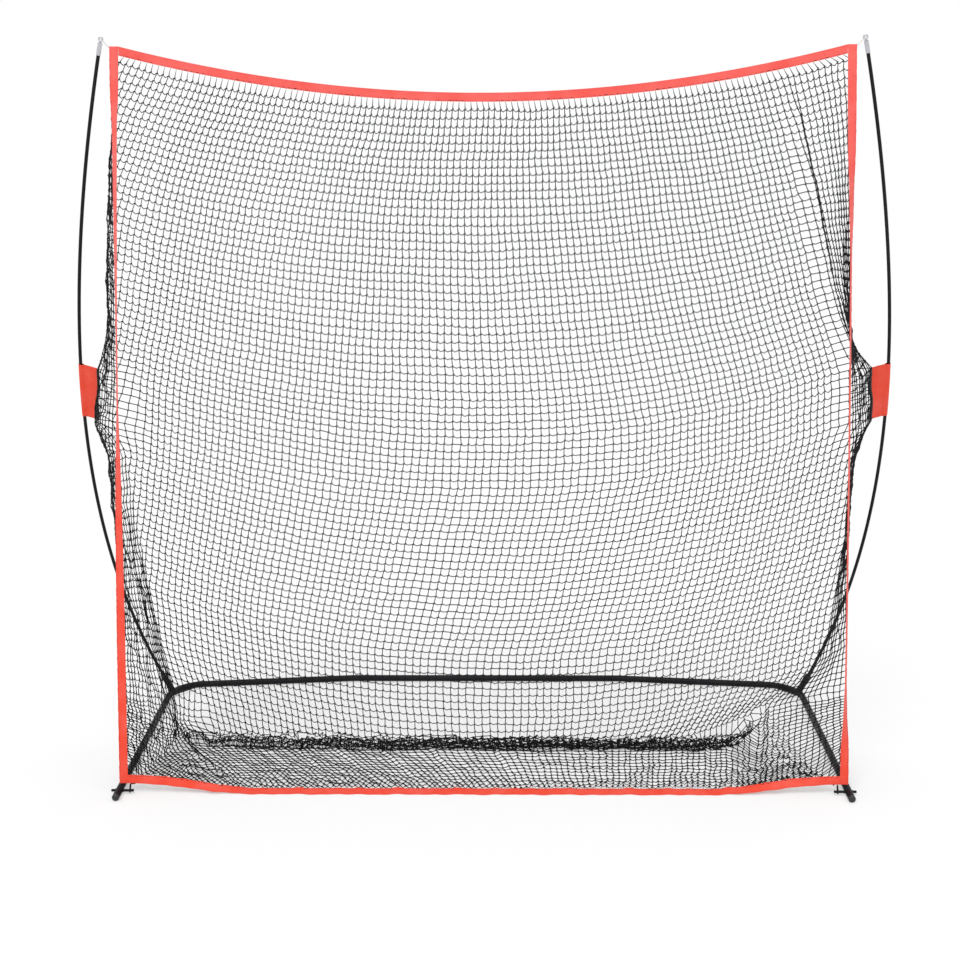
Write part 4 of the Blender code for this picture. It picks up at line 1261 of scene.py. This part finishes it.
class PRACTICE_OT_bindings(Operator):
    """Woven tape sewn round the opening of the net"""

    bl_idname = "practice.bindings"
    bl_label = "Bindings"

    def execute(self, context):
        half = BINDING_WIDTH / 2
        tapes = {
            "left": (260, lambda share, across: side_binding_point(-1, share, across - half)),
            "right": (260, lambda share, across: side_binding_point(1, share, across - half)),
            "top": (240, lambda share, across: top_binding_point(2 * share - 1, across - half)),
            "bottom": (240, lambda share, across: bottom_binding_point(2 * share - 1, across)),
        }
        for word, (stations, point) in tapes.items():
            total = lengths_along([point(j / stations, half) for j in range(stations + 1)])

            def place(i, j, stations=stations, point=point):
                return point(j / stations, BINDING_WIDTH * i / TAPE_FACES)

            def size(i, j, total=total):
                return total[j], BINDING_WIDTH * i / TAPE_FACES

            mesh = woven_strip(TAPE_FACES, stations, place, size)
            tape = piece(f"tape_{word}", mesh, red_tape(), [f"net_binding_{word}"])
            thicken(tape, context.scene.practice_binding.thickness, 0.0004)
        return {"FINISHED"}


# ---------------------------------------------------------------- tabs


TAB_LINES = {side: pole_line(side) for _, side in SIDES}
TAB_LENGTHS = {side: lengths_along(line) for side, line in TAB_LINES.items()}


def tab_station(side, v):
    """Pole point, flap direction and its normal at share v up the tab."""
    line, total = TAB_LINES[side], TAB_LENGTHS[side]
    middle = float(np.interp(TAB_CENTRE_HEIGHT, [point.z for point in line], total))
    point = point_along(line, total, middle + (v - 0.5) * TAB_HEIGHT)
    ahead = point_along(line, total, middle + 0.01)
    way = (ahead - point_along(line, total, middle - 0.01)).normalized()
    flap = Vector((-side * math.cos(TAB_TURN), -math.sin(TAB_TURN), 0))
    flap = (flap - way * flap.dot(way)).normalized()
    return point, flap, way.cross(flap)


def tab_width(v):
    wave = TAB_WAVE * (0.5 - 0.5 * math.cos(3 * math.pi * v))
    return mix(TAB_FOOT_WIDTH, TAB_TOP_WIDTH, v) - wave


def tab_seam_point(side, v):
    """Place on the tab's inner edge where the netting is sewn on."""
    point, flap, _ = tab_station(side, v)
    return point + flap * (tab_width(v) - 0.002)


def flap_spread(side, share, v, face):
    """Distance of a flap from the tab's middle plane, share 0 at its inner edge."""
    belly = 0.0016 * math.sin(math.pi * min(1, share * 1.15)) * (0.6 + 0.4 * v)
    crease = bpy.context.scene.practice_tab.crease
    crease *= ripple(share * 5 + v * 7 * face, side + face)
    return 0.0006 + (belly + crease * math.sin(math.pi * share) ** 0.5) * face * 0.5


def tab_section(side, i, v):
    """Reach from the pole's axis and distance across, of corner i of the fold."""
    columns = 2 * FLAP_STEPS + WRAP_STEPS
    if i <= FLAP_STEPS:
        share, face = i / FLAP_STEPS, 1
    elif i >= FLAP_STEPS + WRAP_STEPS:
        share, face = (columns - i) / FLAP_STEPS, -1
    else:
        turn = mix(WRAP_START, math.tau - WRAP_START, (i - FLAP_STEPS) / WRAP_STEPS)
        return WRAP_RADIUS * math.cos(turn), WRAP_RADIUS * math.sin(turn)
    tangent = WRAP_RADIUS * math.cos(WRAP_START)
    reach = mix(tab_width(v) + 0.0006 * ripple(v * 9, side), tangent, share)
    lift = float(ease((reach - tangent) / 0.016))
    settled = flap_spread(side, share, v, face) + (0.0002 if face > 0 else -0.0016)
    return reach, mix(face * WRAP_RADIUS * math.sin(WRAP_START), settled, lift)


def tab_mesh(side):
    def place(i, j):
        point, flap, across = tab_station(side, j / TAB_STEPS)
        reach, out = tab_section(side, i, j / TAB_STEPS)
        return point + flap * reach + across * out

    def size(i, j):
        v = j / TAB_STEPS
        if i <= FLAP_STEPS or i >= FLAP_STEPS + WRAP_STEPS:
            return v * TAB_HEIGHT, tab_width(v) - tab_section(side, i, v)[0]
        return v * TAB_HEIGHT, tab_width(v) + WRAP_RADIUS

    return woven_strip(2 * FLAP_STEPS + WRAP_STEPS, TAB_STEPS, place, size)


def hem_mesh(side):
    """A narrow tape folded round the inner edge of a tab."""

    def place(i, j):
        v = j / TAB_STEPS
        point, flap, across = tab_station(side, v)
        turn = math.pi * (i / HEM_FACES - 0.5)
        reach = tab_width(v) + 0.0002 + 0.0022 * math.cos(turn)
        if i in (0, HEM_FACES):
            reach -= 0.0045
        return point + flap * reach + across * (0.0026 * math.sin(turn) - 0.0003)

    return woven_strip(
        HEM_FACES, TAB_STEPS, place, lambda i, j: (TAB_HEIGHT * j / TAB_STEPS, 0.0012 * i)
    )


class PRACTICE_OT_side_tabs(Operator):
    """Cloth tabs folded round the poles, with black hems"""

    bl_idname = "practice.side_tabs"
    bl_label = "Side tabs"

    def execute(self, context):
        for word, side in SIDES:
            tab = piece(
                f"tab_{word}", tab_mesh(side), tab_cloth(), [f"side_tab_{word}"]
            )
            thicken(tab, context.scene.practice_tab.thickness)
            hem = piece(f"tab_hem_{word}", hem_mesh(side), black_hem())
            thicken(hem, HEM_THICKNESS)
        return {"FINISHED"}


# ---------------------------------------------------------------- netting


def pinned_edges(columns, rows):
    """Places of the netting's four edges, sewn into the tapes."""
    inside = BINDING_WIDTH / 2 - SEAM_ALLOWANCE
    span = np.linspace(-1, 1, columns + 1)
    top = np.array([top_binding_point(u, -inside) for u in span])
    bottom = np.array([bottom_binding_point(u, BINDING_WIDTH - SEAM_ALLOWANCE) for u in span])
    pins, shares = zip(*SIDE_PINS)
    drop = np.interp(np.arange(rows + 1), pins, shares)
    left, right = (
        np.array([side_binding_point(side, v, inside) for v in drop]) for side in (-1, 1)
    )
    return top, bottom, left, right


def hanging_fold(side, row):
    """Meshes in from the edge and place of the fold in this row of knots, without the tab."""
    first, last = TAB_KNOTS
    upper, lower = TAB_SEAM_HEIGHTS
    if row <= first:
        height = mix(NET_FOLDS[side][-1][0], upper, row / first)
    elif row < last:
        height = mix(upper, lower, (row - first) / (last - first))
    else:
        height = lower - (row - last) * FOLD_STEP
    levels, meshes, reach, depth = zip(*NET_FOLDS[side])
    meshes, reach, depth = (np.interp(height, levels, part) for part in (meshes, reach, depth))
    return meshes, np.array([side * reach, depth - MIDDLE_DEPTH, height])


def tab_pull(side, row):
    """How far the tab draws the fold out in this row of knots."""
    first, last = TAB_KNOTS
    near = min(max(row, first), last)
    seam = np.array(tab_seam_point(side, 1 - (near - first) / (last - first)))
    share = 1 - min(1.0, abs(row - near) / TAB_PULL_MESHES)
    return (seam - hanging_fold(side, near)[1]) * share**1.5


def fold_row(side, row):
    """Meshes in from the edge and place of the fold in this row of knots."""
    meshes, place = hanging_fold(side, row)
    return meshes, place + tab_pull(side, row)


def fold_end_row(side):
    """Row of knots in which the fold comes down to the back corner of the floor."""
    return int(round(TAB_KNOTS[1] + (TAB_SEAM_HEIGHTS[1] - NET_FOLDS[side][0][0]) / FOLD_STEP))


def side_fold(side, row, rows):
    """The same as fold_row, and past the back corner along the edge of the floor."""
    last = fold_end_row(side)
    if row <= last:
        return fold_row(side, row)
    meshes, corner = fold_row(side, last)
    share = (row - last) / (rows - last)
    x, depth, height = LAID_CORNER
    place = mix(corner, np.array(at(side * x, depth, height)), share)
    rise = height - LAID_HEIGHT
    place[2] = mix(LAID_HEIGHT, corner[2], (1 - share) ** 2) + rise * share**2
    return meshes * (1 - share), place


def side_netting(knots, side, wander):
    """Places the netting between a side tape and the fold, slack and swollen outwards."""
    rows, columns = knots.shape[0] - 1, knots.shape[1] - 1
    levels, swells = zip(*SIDE_SWELLS[side])
    for row in range(1, rows):
        count, fold = side_fold(side, row, rows)
        edge = knots[row, 0 if side < 0 else columns]
        swell = np.interp(row, levels, swells)
        loose = SIDE_JUMBLES[side] * float(ease(row / 30))
        for inner in range(1, int(count) + 1):
            column = inner if side < 0 else columns - inner
            share = inner / count
            slack = math.sin(math.pi * share) ** 0.8
            place = mix(edge, fold, share) + wander[row, column] * loose * slack
            place[0] += side * swell * slack
            knots[row, column] = place


def floor_corner_netting(knots, side, bottom, wander):
    """Places the netting on the floor between the edge under a side and the lower tape."""
    rows, columns = knots.shape[0] - 1, knots.shape[1] - 1
    last = fold_end_row(side)
    meshes, _ = fold_row(side, last)
    for inner in range(1, int(meshes) + 1):
        column = inner if side < 0 else columns - inner
        from_row = rows - (rows - last) * inner / meshes
        _, start = side_fold(side, from_row, rows)
        for row in range(int(math.ceil(from_row)), rows):
            share = (row - from_row) / (rows - from_row)
            place = mix(start, bottom[column], share)
            place[2] = start[2] * (1 - share) ** 2 + bottom[column][2] * share**1.3
            knots[row, column] = place + wander[row, column] * 0.006 * math.sin(math.pi * share)


def back_row(row, columns):
    """Places of a row of knots across the back, if it hung free of the floor."""
    (left_count, left), (right_count, right) = hanging_fold(-1, row), hanging_fold(1, row)
    levels, heights, depths = zip(*NET_MIDDLE)
    past = max(0.0, row - levels[-1]) * FOLD_STEP
    height = np.interp(row, levels, heights) - past
    middle = np.array([0.0, np.interp(row, levels, depths) - MIDDLE_DEPTH, height])
    share = (np.arange(columns + 1) - left_count) / (columns - right_count - left_count)
    crowding = 0.12 * float(ease(row / 45))
    share = share - crowding * np.sin(math.tau * share) / math.tau
    out = np.clip(np.abs(2 * share - 1), 0, 1)[:, None] ** 2
    ends = np.where((share < 0.5)[:, None], left, right)
    places = middle + (ends - middle) * out
    places[:, 0] = mix(left[0], right[0], np.clip(share, 0, 1))
    number = np.arange(columns + 1)
    for side, away in ((-1, number - left_count), (1, columns - number - right_count)):
        near = np.clip(1 - away / TAB_PULL_MESHES, 0, 1) ** 2
        places += near[:, None] * tab_pull(side, row)
    return places


def draw_bunch(knots, centre, reach):
    """Draws the knots near a place in towards it."""
    away = knots - centre
    near = 1 - np.linalg.norm(away, axis=-1, keepdims=True) / reach
    knots -= away * near.clip(0) * 0.8


def draw_crease(knots, side):
    """Draws the meshes beside the fold over the tab together, as in a sharp crease."""
    for row in range(2, TAB_KNOTS[0]):
        count, _ = fold_row(side, row)
        line = knots[row] if side < 0 else knots[row, ::-1]
        inner = np.arange(int(count) - CREASE_MESHES + 1, int(count) + CREASE_MESHES)
        away = inner - count
        slip = 1.15 * float(ease(row / 14)) * (1 - np.abs(away) / CREASE_MESHES).clip(0)
        drawn = np.sign(away) * np.maximum(np.abs(away) - slip, 0.15 * np.abs(away))
        number = np.arange(len(line))
        line[inner] = np.stack([np.interp(count + drawn, number, part) for part in line.T], -1)


def heaped_column(column, ends, fall, rise, wander, lump, cell):
    """Places of a column below its foot: heaped on the floor, then laid to the lower tape.

    fall is the row of its foot, rise the foot's height over the floor. Netting that comes down
    from higher up isn't heaped.
    """
    foot, bottom = ends
    rows = len(column) - 1
    level = max(0.0, 1 - rise / HEAP_LIMIT)
    heap = HEAP_DEPTH * level
    laid_from = rows - np.linalg.norm(foot[:2] - bottom[:2] + [0, -heap]) / cell * 1.06
    laid_from = max(fall + 1, int(round(mix(fall + 1, laid_from, level))))
    turns = max(2, 2 * round((laid_from - fall) * cell / HEAP_FOLD))
    gathered = (bottom[0] - foot[0]) * HEAP_GATHER
    reach = 0.026 + 0.007 * lump
    for row in range(fall + 1, rows):
        if row < laid_from:
            along = (row - fall) / (laid_from - fall)
            phase = along * turns * math.pi
            height = rise * (1 - along) ** 0.7 + HEAP_TOP * (1 - along) + LAID_HEIGHT
            column[row] = (
                foot[0] + gathered * along,
                foot[1] - reach + reach * math.cos(phase) - 0.012 * along,
                height + 0.006 * math.sin(phase * 1.7),
            )
            column[row] += wander[row] * 0.010
        else:
            along = (row - laid_from) / (rows - laid_from)
            column[row, :2] = mix(foot[:2] + [gathered * level, -heap], bottom[:2], along)
            column[row, 2] = 0.0016 + bottom[2] * along**3 + rise * (1 - along) ** 2
            column[row] += wander[row] * 0.004


def netting_shape(columns, rows, cell):
    """Places of all knots of the netting."""
    top, bottom, left, right = pinned_edges(columns, rows)
    ends = {side: fold_end_row(side) for side in (-1, 1)}
    knots = np.array([back_row(row, columns) for row in range(rows + 1)])
    wander = noise_vectors(knots.shape[:2], (1.6, 1.6), (3, 4, 5))
    drift = noise_vectors(knots.shape[:2], (11, 9), (7, 8, 9))
    knots[1:-1, 1:-1] += drift[1:-1, 1:-1] * (0.004, 0.006, 0.004)
    lumps = coarse_noise((1, columns + 1), (1, 9), 6)[0]
    counts = {side: fold_row(side, ends[side])[0] for side in (-1, 1)}
    for number in range(columns + 1):
        inner = {-1: number, 1: columns - number}
        side = -1 if number < columns / 2 else 1
        if inner[side] <= counts[side]:
            continue
        _, corner = fold_row(side, ends[side])
        across = 1 - (inner[side] - counts[side]) / (columns / 2 - counts[side])
        rise = (corner[2] - LAID_HEIGHT) * float(ease((across - 0.86) / 0.14))
        hanging = knots[: ends[side] + 1, number, 2] > rise + 0.016
        fall = int(np.flatnonzero(hanging)[-1])
        foot = knots[fall, number]
        heaped_column(
            knots[:, number], (foot, bottom[number]), fall, rise, wander[:, number],
            lumps[number], cell,
        )
    knots[:, 0], knots[:, columns] = left, right
    for side in (-1, 1):
        side_netting(knots, side, wander)
        floor_corner_netting(knots, side, bottom, wander)
    draw_crease(knots, 1)
    draw_bunch(knots, np.array(at(*BUNCH_PLACE)), BUNCH_REACH)
    knots[0], knots[rows] = top, bottom
    knots[..., 2] = np.maximum(knots[..., 2], KNOT_LEAST_HEIGHT)
    return knots


def unit(vectors):
    return vectors / np.maximum(np.linalg.norm(vectors, axis=-1, keepdims=True), 1e-9)


def netting_block(knots, slack, rows, columns, settings):
    """Cords and knots of the meshes between two rows and two columns."""
    (row_from, row_to), (column_from, column_to) = rows, columns
    down = unit(np.gradient(knots, axis=0))
    across = unit(np.gradient(knots, axis=1))
    lobe = (down * 0.75 - across) * settings.knot_reach
    near = settings.knot_reach * 2.1
    thick = np.full(knots.shape[:2], settings.knot_radius / settings.cord_radius)
    thick[0] = thick[-1] = thick[:, 0] = thick[:, -1] = 0.4
    curve = cord_curve(settings.cord_radius, 4, caps=False)
    last = knots.shape[1] - 1
    for column in range(column_from, column_to + (1 if column_to == last else 0)):
        line = knots[row_from : row_to + 1, column]
        way, out = down[row_from : row_to + 1, column], lobe[row_from : row_to + 1, column]
        points = np.stack([line - way * near, line - out, line + out, line + way * near], 1)
        knot = thick[row_from : row_to + 1, column]
        thin = np.minimum(knot, 1.0)
        radii = np.stack([thin, knot, knot, thin], 1).ravel()[1:-1]
        points = points.reshape(-1, 3)[1:-1]
        points[:, 2] = np.maximum(points[:, 2], CORD_LEAST_HEIGHT)
        add_spline(curve, points, radii)
    last = knots.shape[0] - 1
    for row in range(row_from, row_to + (1 if row_to == last else 0)):
        line = knots[row, column_from : column_to + 1]
        middle = (line[1:] + line[:-1]) / 2 + slack[row, column_from:column_to]
        points = np.empty((2 * len(line) - 1, 3))
        points[0::2], points[1::2] = line, middle
        points[:, 2] = np.maximum(points[:, 2], CORD_LEAST_HEIGHT)
        radii = np.ones(len(points))
        radii[0::2] = np.minimum(thick[row, column_from : column_to + 1], 1.0)
        add_spline(curve, points, radii)
    mesh = evaluated_mesh(link("netting", curve))
    mesh.shade_smooth()
    return mesh


class PRACTICE_OT_netting(Operator):
    """Knotted netting of the back, the sides and the floor"""

    bl_idname = "practice.netting"
    bl_label = "Netting"

    def execute(self, context):
        settings = context.scene.practice_netting
        rows, columns = settings.rows, settings.columns
        knots = netting_shape(columns, rows, settings.mesh_height)
        wobble = noise_vectors(knots.shape[:2], (1.5, 1.5), (11, 12, 13))
        knots[1:-1, 1:-1] += wobble[1:-1, 1:-1] * KNOT_WOBBLE
        spans = np.linalg.norm(knots[:, 1:] - knots[:, :-1], axis=-1)
        spare = np.maximum(settings.mesh_width - spans, 0)
        sag = np.minimum(np.sqrt(0.375 * spare * settings.mesh_width), MOST_SAG)
        turn = [coarse_noise((rows + 1, columns), (1, 1), seed) for seed in (22, 21)]
        slack = np.stack([sag * 0.3 * turn[0], sag * 0.4 * turn[1], -sag * 0.85], -1)
        slack[0] = slack[-1] = 0
        inner = (SIDE_MESHES, columns - SIDE_MESHES)
        blocks = (
            ("side_left", (0, rows), (0, inner[0]), "net_side_panel_left"),
            ("side_right", (0, rows), (inner[1], columns), "net_side_panel_right"),
            ("back_upper", (0, BACK_CUTS[0]), inner, "net_back_panel"),
            ("back_middle", BACK_CUTS, inner, "net_back_panel"),
            ("back_lower", (BACK_CUTS[1], FLOOR_ROW), inner, "net_back_panel"),
            ("floor", (FLOOR_ROW, rows), inner, "net_floor_panel"),
        )
        for word, row_range, column_range, node_name in blocks:
            mesh = netting_block(knots, slack, row_range, column_range, settings)
            piece(f"netting_{word}", mesh, netting_cord(), [node_name])
        return {"FINISHED"}


# ---------------------------------------------------------------- corner loops


def racetrack(first, second, radius, across, steps=16):
    """Closed line round two centres, in the plane of their line and the direction across."""
    along = (second - first).normalized()
    across = (across - along * across.dot(along)).normalized()
    points = []
    for centre, turn in ((first, math.pi / 2), (second, -math.pi / 2)):
        for step in range(steps + 1):
            angle = turn + math.pi * step / steps
            points.append(centre + (along * math.cos(angle) + across * math.sin(angle)) * radius)
    return points


class PRACTICE_OT_corner_loops(Operator):
    """Loops that hold the net's corners to the pole tips and the hook bars"""

    bl_idname = "practice.corner_loops"
    bl_label = "Corner loops"

    def execute(self, context):
        for word, side in SIDES:
            eye = tip_matrix(side, EYE_HEIGHT).translation
            corner = side_binding_point(side, 0, BINDING_WIDTH / 2 + 0.0008) - UP * 0.0026
            radius = EYE_THICKNESS / 2 + 0.0013
            along = (corner - eye).normalized()
            points = racetrack(eye + along * radius, corner - along * radius, radius, BACK)
            mesh = swept(points, ELASTIC_RADIUS, 12, closed=True)
            name, node_name = f"elastic_loop_{word}", f"top_corner_loop_{word}"
            piece(name, mesh, elastic_cord(), [node_name])
            x = side * (LEG_X - HOOK_BAR_REACH[0] + 0.012)
            radius = HOOK_BAR_RADIUS + 0.0004 + CORD_LOOP_RADIUS
            upper = at(x, BOTTOM_CORNER_DEPTH, BOTTOM_CORNER_HEIGHT - 0.0026 - radius)
            points = racetrack(bar_at(x, HOOK_BAR_DEPTH), upper, radius, BACK)
            mesh = swept(points, CORD_LOOP_RADIUS, 12, closed=True)
            name, node_name = f"cord_loop_{word}", f"bottom_corner_loop_{word}"
            piece(name, mesh, netting_cord(), [node_name])
        return {"FINISHED"}


# ---------------------------------------------------------------- carried-over pieces


class PRACTICE_OT_inner_pieces(Operator):
    """Finish of the pins inside the poles"""

    bl_idname = "practice.inner_pieces"
    bl_label = "Inner pieces"

    def execute(self, context):
        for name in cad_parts:
            if name.startswith("pole_spigot"):
                obj = bpy.data.objects.get(name)
                if obj is None:
                    raise RuntimeError(f"{name} is missing from the frame")
                obj.data.materials.clear()
                obj.data.materials.append(spring_steel())
        return {"FINISHED"}


# ---------------------------------------------------------------- stage


def pale_floor(colour):
    """A pale floor that fades to white in the camera's view at a distance."""
    material, tree, shader = new_material("pale_floor")
    place = object_place(tree)
    blotch, _ = uneven_surface(tree, place, 0.8, 300.0)
    pale = [part * 1.01 for part in colour]
    tint = blend_colours(tree, blotch, (*colour, 1), (*pale, 1))
    feed(tree, shader, {"Base Color": tint, "Roughness": 0.9, "Specular IOR Level": 0.1})
    away = node(tree, "ShaderNodeVectorMath", {0: place}, operation="LENGTH").outputs["Value"]
    seen = node(tree, "ShaderNodeLightPath").outputs["Is Camera Ray"]
    far = maths(tree, "MULTIPLY", stretch(tree, away, 0.9, 2.6, 0.35, 1), seen)
    white = node(tree, "ShaderNodeEmission", {"Color": (1, 1, 1, 1), "Strength": 1.0})
    faded = node(
        tree, "ShaderNodeMixShader", {0: far, 1: shader.outputs[0], 2: white.outputs[0]}
    )
    output = next(made for made in tree.nodes if made.type == "OUTPUT_MATERIAL")
    feed(tree, output, {"Surface": faded.outputs[0]})
    return material


def even_light(strength):
    """A world of even light that looks white to the camera, and in gloss and glass."""
    world = bpy.data.worlds.new("even_light")
    world.use_nodes = True
    tree = world.node_tree
    tree.nodes.clear()
    path = node(tree, "ShaderNodeLightPath").outputs
    seen = maths(tree, "MAXIMUM", path["Is Camera Ray"], path["Is Glossy Ray"])
    seen = maths(tree, "MAXIMUM", seen, path["Is Transmission Ray"])
    even, white = (
        node(tree, "ShaderNodeBackground", {"Color": (1, 1, 1, 1), "Strength": value}).outputs[0]
        for value in (strength, 1.0)
    )
    mixed = node(tree, "ShaderNodeMixShader", {0: seen, 1: even, 2: white})
    node(tree, "ShaderNodeOutputWorld", {"Surface": mixed.outputs[0]})
    return world


class PRACTICE_OT_stage(Operator):
    """Floor, soft light and camera"""

    bl_idname = "practice.stage"
    bl_label = "Stage"

    def execute(self, context):
        scene = context.scene
        settings = scene.practice_stage
        scene.view_settings.view_transform = "Standard"
        data = bpy.data.cameras.new("camera")
        data.lens = settings.lens
        data.sensor_width = 36
        data.clip_end = 400
        scene.camera = link("camera", data)
        scene.camera.matrix_world = (
            Matrix.Translation(settings.camera_place)
            @ Matrix.Rotation(settings.camera_left, 4, "Z")
            @ Matrix.Rotation(math.pi / 2 - settings.camera_down, 4, "X")
            @ Matrix.Rotation(settings.camera_roll, 4, "Z")
        )

        bm = bmesh.new()
        bmesh.ops.create_grid(bm, x_segments=1, y_segments=1, size=FLOOR_REACH)
        floor = link("floor", to_mesh(bm))
        floor.data.name = "floor"
        floor.data.materials.append(pale_floor(settings.floor_colour))
        scene.world = even_light(settings.sky)

        lamp = bpy.data.lights.new("key_light", "SUN")
        lamp.energy = settings.sun
        lamp.angle = math.radians(38)
        light = link("key_light", lamp)
        light.matrix_world = (
            Matrix.Rotation(math.radians(-14), 4, "Z") @ Matrix.Rotation(math.radians(32), 4, "X")
        )
        return {"FINISHED"}


# ---------------------------------------------------------------- add-on

STEPS = (
    PRACTICE_OT_stage,
    PRACTICE_OT_base_tubes,
    PRACTICE_OT_foot_plugs,
    PRACTICE_OT_hook_bars,
    PRACTICE_OT_corner_braces,
    PRACTICE_OT_snap_buttons,
    PRACTICE_OT_pole_sockets,
    PRACTICE_OT_poles,
    PRACTICE_OT_pole_tips,
    PRACTICE_OT_bindings,
    PRACTICE_OT_side_tabs,
    PRACTICE_OT_netting,
    PRACTICE_OT_corner_loops,
    PRACTICE_OT_inner_pieces,
)

SETTINGS = {
    "practice_netting": NettingSettings,
    "practice_binding": BindingSettings,
    "practice_tab": TabSettings,
    "practice_frame": FrameSettings,
    "practice_stage": StageSettings,
}


class VIEW3D_PT_practice_net(Panel):
    """Sizes, colours and steps of the practice net"""

    bl_label = "Practice Net"
    bl_space_type = "VIEW_3D"
    bl_region_type = "UI"
    bl_category = "Practice Net"

    def draw(self, context):
        layout = self.layout
        for name, group in SETTINGS.items():
            box = layout.box()
            for prop in group.__annotations__:
                box.prop(getattr(context.scene, name), prop)
        for step in STEPS:
            layout.operator(step.bl_idname)


def register():
    for group in SETTINGS.values():
        bpy.utils.register_class(group)
    for name, group in SETTINGS.items():
        setattr(bpy.types.Scene, name, PointerProperty(type=group))
    for step in STEPS:
        bpy.utils.register_class(step)
    bpy.utils.register_class(VIEW3D_PT_practice_net)


def unregister():
    bpy.utils.unregister_class(VIEW3D_PT_practice_net)
    for step in reversed(STEPS):
        bpy.utils.unregister_class(step)
    for name, group in SETTINGS.items():
        delattr(bpy.types.Scene, name)
        bpy.utils.unregister_class(group)


def main():
    register()
    for step in STEPS:
        group, name = step.bl_idname.split(".")
        getattr(getattr(bpy.ops, group), name)()
    bpy.context.view_layer.update()


if __name__ == "__main__":
    main()
